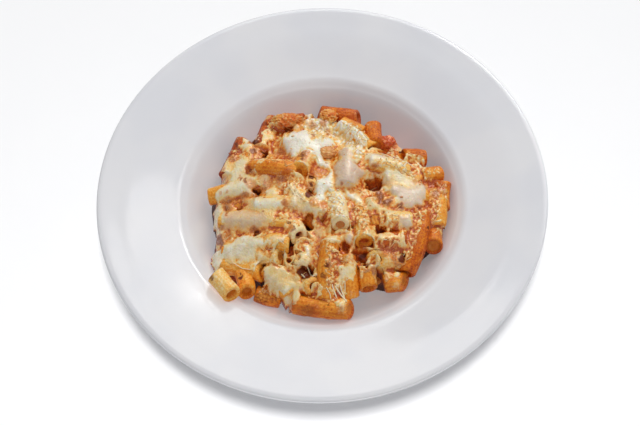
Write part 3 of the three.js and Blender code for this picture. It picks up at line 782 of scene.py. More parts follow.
class Surface:
    """A material in the making: nodes go in with add, and finish joins them to the shader."""

    def __init__(self, name):
        self.material = bpy.data.materials.new(name)
        self.material.use_nodes = True
        self.tree = self.material.node_tree
        self.shader = self.tree.nodes["Principled BSDF"]

    def add(self, kind, settings=None, inputs=None, output=0):
        """Any node, with its settings, its inputs by name or number, and the output wanted."""
        node = self.tree.nodes.new(kind)
        for key, value in (settings or {}).items():
            setattr(node, key, value)
        for key, value in (inputs or {}).items():
            self.feed(node.inputs[key], value)
        return Value(self, node.outputs[output])

    def feed(self, socket, value):
        if isinstance(value, Value):
            self.tree.links.new(value.socket, socket)
        else:
            socket.default_value = value

    def sum(self, operation, *terms):
        return self.add("ShaderNodeMath", {"operation": operation}, dict(enumerate(terms)))

    def place(self):
        return self.add("ShaderNodeTexCoord", output=3)

    def field(self, name):
        return self.add("ShaderNodeAttribute", {"attribute_name": name}, output=2)

    def noise(self, size, detail=2.0, rough=0.5, warp=0.0):
        """Smooth noise around 0.5 whose features have a size in millimetres."""
        inputs = {"Vector": self.place(), "Scale": 1 / (size * MM), "Detail": detail,
                  "Roughness": rough, "Distortion": warp}
        return self.add("ShaderNodeTexNoise", {}, inputs)

    def step(self, value, low, high):
        settings = {"interpolation_type": "SMOOTHSTEP"}
        return self.add("ShaderNodeMapRange", settings, {0: value, 1: low, 2: high})

    def mix(self, share, first, second, blend="MIX"):
        settings = {"data_type": "RGBA", "blend_type": blend}
        colours = [c if isinstance(c, Value) else linear(c) for c in (first, second)]
        return self.add("ShaderNodeMix", settings, {0: share, 6: colours[0], 7: colours[1]}, 2)

    def ramp(self, value, *stops):
        """Colours along a value; each stop is a place and a colour."""
        colour = stops[0][1]
        for (low, _), (high, paint) in zip(stops, stops[1:]):
            colour = self.mix(self.step(value, low, high), colour, paint)
        return colour

    def bump(self, height, depth, strength=1.0, under=None):
        """Relief of a depth in millimetres."""
        inputs = {"Height": height, "Distance": depth * MM, "Strength": strength}
        if under is not None:
            inputs["Normal"] = under
        return self.add("ShaderNodeBump", {}, inputs)

    def finish(self, **sockets):
        for name, value in sockets.items():
            self.feed(self.shader.inputs[name.replace("_", " ")], value)
        return self.material


SCATTER = (1.0, 0.45, 0.18)  # how far red, green and blue light goes into food, as shares


def soft_body(surface, weight, reach):
    """Light that goes a little way into food."""
    surface.finish(Subsurface_Weight=weight, Subsurface_Radius=SCATTER,
                   Subsurface_Scale=reach * MM)


def browned_and_shaded(s, colour, grit, dark):
    """A colour with its browned spots and its painted shade in gaps and under edges."""
    return s.mix(s.step(s.field("brown_and_shade") + 0.7 * (grit - 0.5), 0.3, 0.9), colour, dark)


def stained(s, colour, grains, limits, where, reds):
    """A colour with grains of redder sauce where the field stain asks for them."""
    red = s.mix(s.step(grains, *limits), *reds)
    return s.mix(s.field("stain") * where, colour, red)


def glaze_material():
    """White glazed stoneware with a faint cool tint."""
    s = Surface("white_glaze")
    cloud = s.noise(55.0, 2.0)
    fine = s.noise(9.0, 2.0)
    colour = s.mix(s.step(cloud, 0.35, 0.65), (222, 223, 228), (228, 228, 231))
    normal = s.bump(fine, 0.02, 0.4)
    return s.finish(Base_Color=colour, Roughness=0.1 + 0.05 * cloud, Normal=normal,
                    Coat_Weight=0.3, Coat_Roughness=0.04, IOR=1.5)


def pasta_material():
    """Boiled pasta stained by the sauce, from pale cream to deep orange."""
    s = Surface("sauced_tubes")
    tone = s.field("tone")
    broad = s.noise(5.0, 3.0, 0.55, 0.5)
    grit = s.noise(1.5, 3.0, 0.6)
    fine = s.noise(0.7, 2.0, 0.6)
    # Paler on top and darker below through rise: partly a painted highlight of light from above,
    # partly the cheese film on the tops.
    shade = tone - 0.14 * s.field("rise") + 0.5 * (broad - 0.5)
    ridge = s.sum("SINE", 15.0 * s.sum("ARCTAN2", s.field("aside"), s.field("rise")))
    shade = shade + 0.7 * (grit - 0.5) + 0.55 * (fine - 0.5) - 0.03 * ridge
    colour = s.ramp(shade, (0.0, (254, 232, 184)), (0.22, (252, 205, 120)), (0.42, (248, 170, 60)),
                    (0.6, (232, 138, 32)), (0.78, (206, 96, 8)), (1.0, (150, 50, 2)))
    film = s.field("film") + 0.9 * (broad - 0.5) + 1.2 * (grit - 0.5)
    colour = s.mix(0.7 * s.step(film, 0.5, 0.8), colour, (246, 208, 144))
    colour = stained(s, colour, grit + 0.5 * (fine - 0.5), (0.4, 0.62), s.step(broad, 0.25, 0.6),
                     ((166, 52, 8), (224, 116, 40)))
    colour = browned_and_shaded(s, colour, grit, (116, 46, 8))
    colour = s.mix(0.8 * s.field("bore"), colour, (222, 132, 44))
    normal = s.bump(grit, 0.4, 0.7, s.bump(broad, 0.6, 0.5, s.bump(ridge, 0.11, 0.6)))
    normal = s.bump(fine, 0.2, 0.7, normal)
    soft_body(s, 0.2, 2.0)
    return s.finish(Base_Color=colour, Roughness=0.24 + 0.25 * fine, Normal=normal,
                    Specular_IOR_Level=0.3)


def bed_material():
    """Tomato sauce and soft crumbs between the tubes, darker the deeper it lies: partly the sauce's
    own colour, partly painted shade in the hollows.
    """
    s = Surface("sauce_and_crumbs")
    broad = s.noise(6.0, 3.0, 0.6, 0.6)
    grit = s.noise(1.4, 3.0, 0.65)
    fine = s.noise(0.6, 2.0, 0.6)
    level = s.field("deep") - 0.22 * s.field("relief") + 0.4 * (broad - 0.5) + 0.8 * (grit - 0.5)
    colour = s.ramp(level, (-0.15, (252, 220, 160)), (0.12, (248, 188, 100)),
                    (0.38, (232, 138, 40)), (0.62, (196, 88, 10)), (0.88, (134, 46, 4)),
                    (1.2, (76, 22, 2)))
    colour = stained(s, colour, grit, (0.36, 0.56), s.step(broad, 0.25, 0.6),
                     ((178, 54, 8), (234, 116, 40)))
    colour = browned_and_shaded(s, colour, grit, (104, 42, 8))
    normal = s.bump(fine, 0.2, 0.6, s.bump(grit, 0.6, 0.8))
    soft_body(s, 0.12, 1.5)
    return s.finish(Base_Color=colour, Roughness=0.3 + 0.25 * fine, Normal=normal,
                    Specular_IOR_Level=0.3)


def cheese_material():
    """Melted cheese: white where thick, golden where thin, orange in its dimples."""
    s = Surface("melted_cheese")
    white = s.field("white")
    broad = s.noise(7.0, 3.0, 0.5, 0.8)
    mottle = s.noise(2.2, 3.0, 0.55, 0.6)
    grit = s.noise(1.1, 3.0, 0.6)
    loose = 1.0 - 0.7 * white
    body = (0.36 * s.field("thick") + 0.68 * white + 0.3 * (broad - 0.5) - 0.03
            + (0.12 + 0.85 * loose) * s.field("relief")
            + loose * (0.9 * (mottle - 0.5) + 0.9 * (grit - 0.5)))
    colour = s.ramp(body, (-0.15, (192, 82, 10)), (0.12, (228, 130, 32)), (0.36, (248, 178, 86)),
                    (0.62, (253, 214, 142)), (0.88, (251, 232, 190)), (1.1, (251, 245, 230)))
    tint = s.field("tint") + 1.6 * (broad - 0.5)
    colour = s.mix(0.6 * s.step(0.0 - tint, 0.3, 1.3), colour, (202, 188, 130))
    colour = s.mix(0.7 * s.step(tint, 0.1, 1.2), colour, (214, 178, 152))
    colour = s.mix(0.3 * s.step(mottle, 0.52, 0.7), colour, (226, 170, 116))
    colour = stained(s, colour, grit, (0.4, 0.62), s.step(mottle, 0.3, 0.6),
                     ((172, 60, 12), (228, 128, 52)))
    # Browned spots and painted shade in gaps and under edges darken the cheese, first to orange,
    # then to dark brown.
    spots = s.field("brown_and_shade")
    colour = s.mix(0.7 * s.step(spots + 0.6 * (mottle - 0.5), 0.0, 0.6), colour, (220, 132, 50))
    colour = s.mix(0.85 * s.step(spots + 1.1 * (grit - 0.5), 0.4, 1.15), colour, (136, 60, 14))
    normal = s.bump(grit, 0.3, 0.6, s.bump(mottle, 0.8, 0.7, s.bump(broad, 1.2, 0.5)))
    soft_body(s, 0.25, 2.0)
    return s.finish(Base_Color=colour, Roughness=0.16 + 0.2 * mottle, Normal=normal,
                    Specular_IOR_Level=0.55, Coat_Weight=0.35, Coat_Roughness=0.08)


def crumb_material():
    """Shreds and crumbs of browned cheese."""
    s = Surface("cheese_crumbs")
    tone = s.field("tone")
    fine = s.noise(0.8, 3.0, 0.6)
    shade = tone + 0.3 * (fine - 0.5)
    colour = s.ramp(shade, (0.0, (246, 230, 196)), (0.35, (238, 198, 136)), (0.6, (226, 158, 82)),
                    (0.85, (196, 112, 46)), (1.05, (150, 68, 22)))
    soft_body(s, 0.2, 1.5)
    return s.finish(Base_Color=colour, Roughness=0.3 + 0.2 * fine, Normal=s.bump(fine, 0.25, 0.7),
                    Coat_Weight=0.3, Coat_Roughness=0.12)


def tomato_material():
    s = Surface("baked_tomato")
    broad = s.noise(3.0, 3.0, 0.5)
    fine = s.noise(0.8, 2.0, 0.5)
    colour = s.ramp(broad + 0.3 * (fine - 0.5), (0.3, (190, 56, 14)), (0.5, (222, 96, 34)),
                    (0.72, (240, 162, 96)))
    soft_body(s, 0.25, 2.0)
    return s.finish(Base_Color=colour, Roughness=0.22 + 0.1 * fine, Normal=s.bump(fine, 0.2, 0.5),
                    Coat_Weight=0.5, Coat_Roughness=0.08)


# ---------------------------------------------------------------- building pieces


def mesh_of(name, bm):
    """A mesh of a bmesh, which is spent."""
    mesh = bpy.data.meshes.new(name)
    bm.to_mesh(mesh)
    bm.free()
    return mesh


def new_object(name, mesh, material, nodes=()):
    """A piece of the part: it rides on the body and stands in for solids."""
    smooth(mesh)
    mesh.materials.append(material)
    piece = bpy.data.objects.new(name, mesh)
    bpy.context.scene.collection.objects.link(piece)
    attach(piece, "root")
    if nodes:
        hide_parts(*nodes)
    return piece


def points_of(mesh):
    """The mesh's points in millimetres."""
    flat = np.empty(len(mesh.vertices) * 3)
    mesh.vertices.foreach_get("co", flat)
    return flat.reshape(-1, 3) / MM


def set_points(mesh, points):
    mesh.vertices.foreach_set("co", (points * MM).ravel())
    mesh.update()


def set_field(mesh, name, values):
    if name not in mesh.attributes:
        mesh.attributes.new(name, "FLOAT", "POINT")
    mesh.attributes[name].data.foreach_set("value", np.asarray(values, np.float32))


def smooth(mesh):
    mesh.polygons.foreach_set("use_smooth", np.ones(len(mesh.polygons), bool))


def spun(profile, steps, axis):
    """A closed mesh spun from a half outline whose two ends lie on the axis."""
    bm = bmesh.new()
    verts = [bm.verts.new(p) for p in profile]
    edges = [bm.edges.new(pair) for pair in zip(verts, verts[1:])]
    bmesh.ops.spin(bm, geom=verts + edges, cent=(0, 0, 0), axis=axis, angle=2 * math.pi,
                   steps=steps, use_merge=True)
    bmesh.ops.remove_doubles(bm, verts=bm.verts[:], dist=1e-4)
    bmesh.ops.recalc_face_normals(bm, faces=bm.faces[:])
    return bm


def catmull(points, pieces):
    """A smooth line through points."""
    line = [np.array(p, float) for p in points]
    line = [2 * line[0] - line[1]] + line + [2 * line[-1] - line[-2]]
    out = []
    for a, b, c, d in zip(line, line[1:], line[2:], line[3:]):
        for k in range(pieces):
            t = k / pieces
            out.append(0.5 * (2 * b + (c - a) * t + (2 * a - 5 * b + 4 * c - d) * t**2
                              + (3 * b - a - 3 * c + d) * t**3))
    return out + [line[-2]]


def make_dish():
    upper = catmull(upper_profile(), 4)
    under = under_profile()
    line = [(min(out, DISH["radius"]), min(up, DISH["height"])) for out, up in upper] + under
    line[0] = (0.0, line[0][1])
    bm = spun([(out * MM, 0.0, up * MM) for out, up in line], DISH["steps_round"], (0, 0, 1))
    mesh = mesh_of("dish_glazed", bm)
    return new_object("dish_glazed", mesh, glaze_material(), ["dish"])


TUBE_STEPS = 36
TUBE_RING = 1.3  # length from one ring of points to the next
TUBE_EDGE = 0.8  # length over which an end's rim is rounded
BORE_DEPTH = 9.0
UNEVEN = {"waves": 0.07, "dents": 0.025}  # shares of the radius
PRESSED = (1.02, 0.97)  # how a tube's section is flattened, across and upward
END_LEAN, END_TURN = 0.12, 0.14  # how unevenly closed and all ends are cut, at most
SIDE_BEND = 0.9  # how far tubes without a bend of their own curve to one side, at most
TUBE_FIELDS = ("points", "tone", "bore", "rise", "aside")


def tube_profile(radius, hole, length, depths):
    """Half outline of a tube, from one end on the axis to the other, as (along, out)."""
    lip = radius - hole

    def end(depth):
        if depth:
            bore = [(share * depth, hole) for share in (0.9, 0.7, 0.5, 0.3)]
            return [(depth, 0.0), (depth, 0.6 * hole)] + bore + [
                (0.12 * depth, hole + 0.06 * lip), (0.25, hole + 0.22 * lip),
                (0.0, hole + 0.5 * lip), (0.2, hole + 0.8 * lip), (TUBE_EDGE, radius)]
        return [(TUBE_EDGE, 0.0), (0.75, 0.3 * radius), (0.4, 0.55 * radius),
                (0.05, 0.75 * radius), (0.15, 0.9 * radius), (TUBE_EDGE, radius)]

    first = end(depths["a"])
    last = [(length - along, out) for along, out in reversed(end(depths["b"]))]
    count = max(3, int(length / TUBE_RING))
    run = length - 2 * TUBE_EDGE
    wall = [(TUBE_EDGE + run * i / count, radius) for i in range(1, count)]
    return first + wall + last


def skin_noise(share, turn, long, round_about, shift):
    """Noise over a tube's skin, without a seam."""
    return np.array([
        noise.noise((s * long, round_about * math.cos(t) + shift, round_about * math.sin(t)))
        for s, t in zip(share, turn)])


def make_tube(region, number, first, second, radius, bow, tone, opened="", hole=0.0):
    """One tube bent onto its path, added to its region; the number varies its form."""
    a, b = Vector(first), Vector(second)
    length = (b - a).length
    depths = {mark: FILLED_ENDS.get(end, BORE_DEPTH) if mark in opened else 0.0
              for mark, end in (("a", first), ("b", second))}
    profile = [(along, 0.0, out) for along, out in tube_profile(radius, hole, length, depths)]
    mesh = mesh_of("tube", spun(profile, TUBE_STEPS, (1, 0, 0)))
    along, side, up = (points_of(mesh) * MM).T
    share = np.clip(along / length, 0, 1)
    out = np.hypot(side, up)
    turn = np.arctan2(up, side)
    bore = np.zeros(len(out))
    for mark, inward in (("a", along), ("b", length - along)):
        inner = (out < hole + 0.25) & (inward > 0.15) & (inward < depths[mark] + 0.1)
        bore = np.where(inner, smooth_step(inward, 0.2, 0.45 * depths[mark] + 0.4), bore)
    waves = skin_noise(share, turn, length / 7, 1.3, number * 3.1)
    dents = skin_noise(share, turn, length / 2.4, 3, number * 2.3)
    scale = 1 + UNEVEN["waves"] * waves + UNEVEN["dents"] * dents
    side, up = side * scale * PRESSED[0], up * scale * PRESSED[1]
    sway = {"a": math.cos(number * 1.7), "b": math.sin(number * 1.3)}
    reach = {"a": (1 - share) ** 2, "b": -(share**2)}
    for mark, end in (("a", first), ("b", second)):
        lean = END_SLANT if mark in opened else END_LEAN * sway[mark]
        lean, slant = END_CUTS.get(end, (lean, END_TURN * math.sin(number * 2.4)))
        along = along + (up * lean + side * slant) * reach[mark]
    start, run = np.array(a), np.array(b - a)
    flat_side = np.array((b - a).cross(Vector((0, 0, 1))).normalized())
    share = along / length
    centre = start + run * share[:, None]
    centre[:, 2] += 4 * bow * share * (1 - share)
    sideways = SIDE_BENDS.get(first, SIDE_BEND * math.sin(number * 1.9))
    centre += flat_side * (sideways * 4 * share * (1 - share))[:, None]
    tangent = run[None, :] + np.stack([0 * share, 0 * share, 4 * bow * (1 - 2 * share)], 1)
    tangent /= np.linalg.norm(tangent, axis=1)[:, None]
    across = np.cross(np.array([0, 0, 1.0])[None, :], tangent)
    across /= np.linalg.norm(across, axis=1)[:, None]
    upward = np.cross(tangent, across)
    points = centre + across * side[:, None] + upward * up[:, None]
    set_points(mesh, points)
    region["bm"].from_mesh(mesh)
    bpy.data.meshes.remove(mesh)
    # rise, the height round the axis, also makes each tube's top paler in the material: painted
    # light, partly cheese film.
    found = (points, tone + 0.10 * waves, bore, up / radius, side / radius)
    for name, values in zip(TUBE_FIELDS, found):
        region[name].append(values)


def paint_by_view(mesh, points):
    """Fields that belong to places in the picture."""
    x, y = points[:, 0], points[:, 1]
    view = picture_of(points)
    view += wander(x, y, 2.6, 1.4)
    # Browned spots together with painted shade in gaps and under edges, then redder sauce.
    set_field(mesh, "brown_and_shade", spotted(view, BROWNED_AND_SHADED))
    set_field(mesh, "stain", spotted(view, REDDENED))


def make_tubes(heap):
    material = pasta_material()
    for name, rows in dict(TUBES, tubes_lower=lower_ring()).items():
        region = {"bm": bmesh.new()} | {field: [] for field in TUBE_FIELDS}
        for number, row in enumerate(rows):
            make_tube(region, number + 11 * len(name), *row)
        mesh = mesh_of(name, region["bm"])
        points = np.concatenate(region["points"])
        for field in TUBE_FIELDS[1:]:
            set_field(mesh, field, np.concatenate(region[field]))
        paint_by_view(mesh, points)
        lift = points[:, 2] - heap.sample(heap.sheet, points[:, 0], points[:, 1])
        patch = ripple(points[:, 0], points[:, 1], 9.0, 5)
        set_field(mesh, "film", smooth_step(lift, -5.0, 0.5) * (0.26 + 0.7 * patch))
        new_object(name, mesh, material, ["pasta_heap"])


SMALLEST_ISLAND = 60  # faces; smaller scraps of a layer are left out


def kept_grid(heap, height, keep):
    """A bmesh of the grid at a height, only where the field keep is above zero."""
    bm = bmesh.new()
    bmesh.ops.create_grid(bm, x_segments=GRID_COUNT, y_segments=GRID_COUNT, size=GRID_HALF * MM)
    mesh = mesh_of("grid", bm)
    points = points_of(mesh)
    points[:, 2] = heap.sample(height, points[:, 0], points[:, 1])
    held = heap.sample(keep, points[:, 0], points[:, 1])
    set_points(mesh, points)
    bm = bmesh.new()
    bm.from_mesh(mesh)
    bpy.data.meshes.remove(mesh)
    gone = [f for f in bm.faces if min(held[v.index] for v in f.verts) <= 0]
    bmesh.ops.delete(bm, geom=gone, context="FACES")
    drop_small_islands(bm)
    return bm


def drop_small_islands(bm):
    seen, scraps = set(), []
    for face in bm.faces:
        if face in seen:
            continue
        island, queue = [], [face]
        seen.add(face)
        while queue:
            here = queue.pop()
            island.append(here)
            for edge in here.edges:
                for other in edge.link_faces:
                    if other not in seen:
                        seen.add(other)
                        queue.append(other)
        if len(island) < SMALLEST_ISLAND:
            scraps += island
    bmesh.ops.delete(bm, geom=scraps, context="FACES")


RELIEF_PASSES = 14  # rounds of softening that a surface's relief stands out from
RELIEF_FULL = 0.8  # the relief that counts as 1
BED_FOOT = 44.0  # radius inside which the bed's underside is flat
BED_UNDERSIDE = (1.0, 0.7, 0.6, 0.0)  # how far out each ring of the underside lies, in turn


def make_bed_piece(heap):
    """The sauce between the tubes, closed below along the well."""
    bm = kept_grid(heap, heap.bed, heap.bed - heap.dish + 1.0)
    rim = [e for e in bm.edges if e.is_boundary]
    for part in BED_UNDERSIDE:
        new = bmesh.ops.extrude_edge_only(bm, edges=rim)["geom"]
        rim = [e for e in new if isinstance(e, bmesh.types.BMEdge) and e.is_boundary]
        for vert in (v for v in new if isinstance(v, bmesh.types.BMVert)):
            radius = math.hypot(vert.co.x, vert.co.y) / MM
            inward = BED_FOOT + (radius - BED_FOOT) * part
            vert.co.x *= inward / radius
            vert.co.y *= inward / radius
            vert.co.z = (well_height(inward) - 0.8) * MM
    bmesh.ops.edgeloop_fill(bm, edges=rim)
    bmesh.ops.recalc_face_normals(bm, faces=bm.faces[:])
    mesh = mesh_of("sauce_bed", bm)
    points = points_of(mesh)
    x, y = points[:, 0], points[:, 1]
    below = heap.sample(heap.sheet - heap.bed, x, y)
    relief = heap.sample(heap.bed - heap.blur(heap.bed, RELIEF_PASSES), x, y)
    set_field(mesh, "relief", np.clip(relief / RELIEF_FULL, -1.5, 1.5))
    # How far the bed lies below the sheet: the material darkens it with this, partly the sauce's
    # own colour, partly painted shade in the hollows.
    set_field(mesh, "deep", np.clip((below - 2.0) / 7.5, -0.3, 1.5))
    paint_by_view(mesh, points)
    new_object("sauce_bed", mesh, bed_material(), ["pasta_heap"])


CHEESE_NODES = ("cheese_top", "cheese_middle", "cheese_dome", "cheese_right", "cheese_left",
                "cheese_coat", "cheese_front", "cheese_band")
CHEESE_SLAB = 1.2  # how thick the skin of cheese is
CHEESE_OUT = 0.9  # how far it runs on below the surface at its edges
FILM_THICKNESS = 0.5
FILM_SPAN = 0.52  # how far the film spans hollows: 0 lies in them, 1 goes straight across
FILM_TEARS = (5.5, 9.5)  # depths of a hollow over which the film across it tears
FILM_END = {"begins": 2.0, "slope": 0.35, "least": -4}  # how the film thins out at its outline
FILM_WHITE = (0.30, 0.25)  # its whiteness and how much that varies
CRUST_THICKNESS = 0.25
POOL_FLOW = (0.45, 0.35)  # share of a pool's depth at its edge, and what the middle adds
BOTTOM_OF_PITS = 0.35  # share of a pit's depth that the cheese is thinner
TOPS = {"cheese": 57.9, "strands": 57.6, "crumbs": 56.8}  # heights that nothing passes


def close_to(points, outline, margin=8):
    """Which points lie in the box round an outline."""
    corners = np.array(outline)
    low, high = corners.min(0) - margin, corners.max(0) + margin
    return np.nonzero(np.all((points > low) & (points < high), axis=1))[0]


def blend(values, near, goal, share, least=-np.inf):
    """Some values of a field moved towards a goal, from a least value on."""
    values[near] = np.maximum(values[near], least) * (1 - share) + goal * share


def cheese_fields(heap):
    """Thickness, whiteness, how far it spans the hollows, tint and how smooth it has run."""
    view = heap.view + heap.warp
    lumps = added_up(heap.x, heap.y, CHEESE_LUMPS) - LUMPS_MIDDLE
    inset = inside_distance(view, FILM)
    thick = FILM_THICKNESS + 0.6 * ripple(heap.x, heap.y, 6.5, 17) + 0.8 * lumps
    for *oval, amount in FILM_GAPS:
        distance = oval_distance(view, *oval)
        thick -= amount * (1 - smooth_step(distance, 0.6, 1.4))
    begins, slope, least = FILM_END.values()
    thick = np.where(inset > begins, thick, np.maximum(thick - (begins - inset) * slope, least))
    thick -= 2.5 * smooth_step(heap.sheet - heap.top, *FILM_TEARS)
    white = FILM_WHITE[0] + FILM_WHITE[1] * ripple(heap.x, heap.y, 9.0, 18)
    white = np.clip(white, 0.05, 0.6)
    span = FILM_SPAN * smooth_step(inset, -2, 4)
    for cover, whiteness, outline in CRUSTS.values():
        near = close_to(view, outline)
        share = smooth_step(inside_distance(view[near], outline), -3, 3)
        blend(thick, near, CRUST_THICKNESS + cover + 1.5 * lumps[near], share)
        blend(white, near, whiteness, share)
    tint = 0.3 * ripple(heap.x, heap.y, 12.0, 19)
    melt = np.zeros(len(heap.x))
    for depth, whiteness, hue, outline in POOLS.values():
        near = close_to(view, outline)
        inset = inside_distance(view[near], outline)
        share = smooth_step(inset, -2.0, 3.0)
        flow = POOL_FLOW[0] * depth + POOL_FLOW[1] * depth * smooth_step(inset, 0, 9)
        blend(thick, near, flow, share, least=-1.2)
        blend(white, near, whiteness, smooth_step(inset, -3.5, 4.5), least=0.2)
        melt[near] = np.maximum(melt[near], min(1.0, 0.6 * depth) * smooth_step(inset, -1, 5))
        span[near] = np.maximum(span[near], min(1.0, 0.5 + 0.3 * depth) * smooth_step(inset, -3, 4))
        blend(tint, near, hue, share)
    for *oval, depth in PITS:
        distance = oval_distance(view, *oval)
        thick -= BOTTOM_OF_PITS * depth * (1 - smooth_step(distance, 0.2, 1.3))
    thick = np.minimum(thick, 3 - 7 * heap.before_ends)
    thick += added_up(heap.x, heap.y, CHEESE_WAVES)
    return thick, white, span, tint, melt


def make_cheese(heap):
    """The melted cheese, one closed skin; heap.cover becomes the surface of all the food."""
    thick, white, span, tint, melt = cheese_fields(heap)
    level = heap.top + span * (heap.sheet - heap.top) + thick
    level += (heap.blur(level, 18) - level) * melt * (1 - heap.before_ends)
    level = np.where(thick > 0, np.maximum(level, heap.top + 0.2 + 0.5 * thick), level)
    level = np.minimum(heap.blur(level, 1), TOPS["cheese"])
    relief = level - heap.blur(level, RELIEF_PASSES)
    bm = kept_grid(heap, level, thick + CHEESE_OUT)
    bmesh.ops.recalc_face_normals(bm, faces=bm.faces[:])
    if sum(f.normal.z for f in bm.faces) < 0:
        bmesh.ops.reverse_faces(bm, faces=bm.faces[:])
    bmesh.ops.solidify(bm, geom=bm.faces[:], thickness=CHEESE_SLAB * MM)
    bmesh.ops.recalc_face_normals(bm, faces=bm.faces[:])
    mesh = mesh_of("cheese_melted", bm)
    points = points_of(mesh)
    x, y = points[:, 0], points[:, 1]
    for name, values in {"thick": thick, "white": white, "tint": tint}.items():
        set_field(mesh, name, heap.sample(values, x, y))
    set_field(mesh, "relief", np.clip(heap.sample(relief, x, y) / RELIEF_FULL, -1.5, 0.45))
    paint_by_view(mesh, points)
    heap.cover = heap.blur(np.where(thick > 0, level, np.maximum(heap.tubes, heap.bed)), 1)
    new_object("cheese_melted", mesh, cheese_material(), CHEESE_NODES)


# Crumbs, and shreds, which are short strands: how many places are tried and how far apart they
# reach, the most that are laid, and the chance of one on a crust and elsewhere. Sizes are the
# least and what is added to it at most.
CRUMBS = {"tries": 9000, "layer": 3, "width": 170, "most": 900, "on_crust": 0.9, "elsewhere": 0.06,
          "share": 0.34, "size": (0.28, 0.34), "stretch": (1, 2.6)}
SHREDS = {"tries": 2940, "layer": 9, "width": 165, "most": 420, "on_crust": 0.75,
          "elsewhere": 0.16, "length": (2.5, 4.0), "radius": (0.18, 0.14)}
SHRED_STEEPEST = 1.6  # a shred that would drop further in one step is left out
SHRED_POINTS = 6
# Steps that spread whole numbers evenly between 0 and 1.
SPREAD = {"along": 0.754877666, "across": 0.569840291, "pick": 0.618034, "size": 0.7548,
          "length": 0.3819}


def spread(number, use):
    return (number * SPREAD[use]) % 1


def one_size(sizes, share):
    """A size between the least and the most."""
    least, more = sizes
    return least + more * share


def scattered(heap, tries, layer, width, **_):
    """Places spread evenly over the heap, the same every time, and how they look to the camera."""
    number = np.arange(tries) + 1 + 101 * layer
    x, y = ((spread(number, use) - 0.5) * width for use in ("along", "across"))
    return x, y, picture_of(np.stack([x, y, heap.sample(heap.cover, x, y)], 1))


def make_crumbs(heap):
    """Crumbs and shreds of browned cheese over the crusts and the open sauce."""
    x, y, view = scattered(heap, **CRUMBS)
    chance = np.full(len(x), 0.0)
    pale = np.full(len(x), 0.3)
    for _, whiteness, outline in CRUSTS.values():
        inset = inside_distance(view, outline)
        chance = np.maximum(chance, CRUMBS["on_crust"] * smooth_step(inset, -3, 3))
        pale = np.where(inset > -2, whiteness, pale)
    share = np.hypot(x, y) / core_reach(np.arctan2(y, x))
    chance = np.where(share < 0.93, np.maximum(chance, CRUMBS["elsewhere"]), 0)
    chance *= heap.sample(heap.before_ends, x, y) < 0.1
    pick = spread(np.arange(len(x)), "pick")
    bm = bmesh.new()
    tone = []
    for i in np.nonzero(pick < CRUMBS["share"] * chance)[0][:CRUMBS["most"]]:
        size = one_size(CRUMBS["size"], spread(i, "size") ** 2)
        long = one_size(CRUMBS["stretch"], spread(i, "length") ** 2)
        turn = Matrix.Rotation(i * 2.4, 4, "Z") @ Matrix.Rotation(0.5 * math.sin(i * 1.3), 4, "Y")
        shape = Matrix.Diagonal((size * long, size, size * 0.75, 1))
        height = float(heap.sample(heap.cover, x[i], y[i])) + 0.15
        place = Matrix.Translation((x[i], y[i], min(height, TOPS["crumbs"])))
        before = len(bm.verts)
        bmesh.ops.create_icosphere(bm, subdivisions=1, radius=1.0, matrix=place @ turn @ shape)
        tone += [0.72 - 0.48 * pale[i] + 0.2 * math.sin(i * 1.9)] * (len(bm.verts) - before)
    mesh = mesh_of("crumbs", bm)
    set_points(mesh, points_of(mesh) * MM)
    set_field(mesh, "tone", tone)
    new_object("crumbs", mesh, crumb_material())


# Threads of pulled cheese by places in the picture, and how thick each is.
THREADS = [
    (0.45, [(301, 272), (304, 275), (307, 278)]), (0.35, [(309, 240), (315, 249), (320, 258)]),
    (0.3, [(313, 238), (318, 247), (323, 256)]), (0.35, [(306, 263), (310, 270), (314, 277)]),
    (0.6, [(335, 286), (341, 294), (347, 302)]), (0.5, [(340, 284), (342, 291), (345, 298)]),
    (0.5, [(332, 284), (334, 291), (337, 298)]), (0.4, [(345, 281), (345, 289), (344, 297)]),
    (0.4, [(326, 287), (330, 294), (331, 300)]), (0.45, [(338, 287), (336, 294), (333, 300)]),
    (0.4, [(383, 152), (393, 158), (403, 166), (412, 172)]),
    (0.35, [(386, 150), (397, 156), (407, 163), (417, 168)]),
    (0.3, [(380, 157), (390, 163), (400, 170)]), (0.35, [(312, 150), (317, 157), (320, 165)]),
    (0.35, [(288, 181), (288, 185), (289, 189)]), (0.35, [(289, 186), (294, 194), (300, 203)]),
    (0.3, [(293, 184), (298, 193), (304, 201)]), (0.3, [(383, 238), (385, 240), (388, 239)]),
    (0.3, [(270, 237), (279, 240), (287, 246)]), (0.3, [(297, 265), (303, 262), (309, 262)]),
    (0.35, [(372, 264), (368, 262), (363, 264), (360, 268)]),
    (0.3, [(399, 262), (402, 256), (406, 251)]), (0.3, [(232, 262), (242, 268), (252, 270)]),
    (0.35, [(364, 134), (368, 139), (373, 144)]), (0.3, [(420, 158), (426, 163), (430, 170)]),
]


def strand_template():
    """A closed strand along +X, one long and one thick."""
    profile = [(0.0, 0.0), (0.03, 0.6)] + [(i / 6, 1.0) for i in range(1, 6)]
    profile += [(0.97, 0.6), (1.0, 0.0)]
    return mesh_of("strand", spun([(along, 0.0, out) for along, out in profile], 6, (1, 0, 0)))


def lay_strand(bm, template, shape, path, radius):
    """One strand along a path of points, added to a bmesh."""
    path = np.array(path)
    stops = np.linspace(0, 1, len(path))
    share = shape[:, 0]
    centre = np.stack([np.interp(share, stops, path[:, k]) for k in range(3)], 1)
    run = path[-1] - path[0]
    across = np.array([-run[1], run[0], 0.0]) / max(math.hypot(run[0], run[1]), 1e-6)
    points = centre + across * (shape[:, 1] * radius)[:, None]
    points[:, 2] += shape[:, 2] * radius * 0.8
    points[:, 2] = np.minimum(points[:, 2], TOPS["strands"])
    set_points(template, points)
    bm.from_mesh(template)
    return len(points)


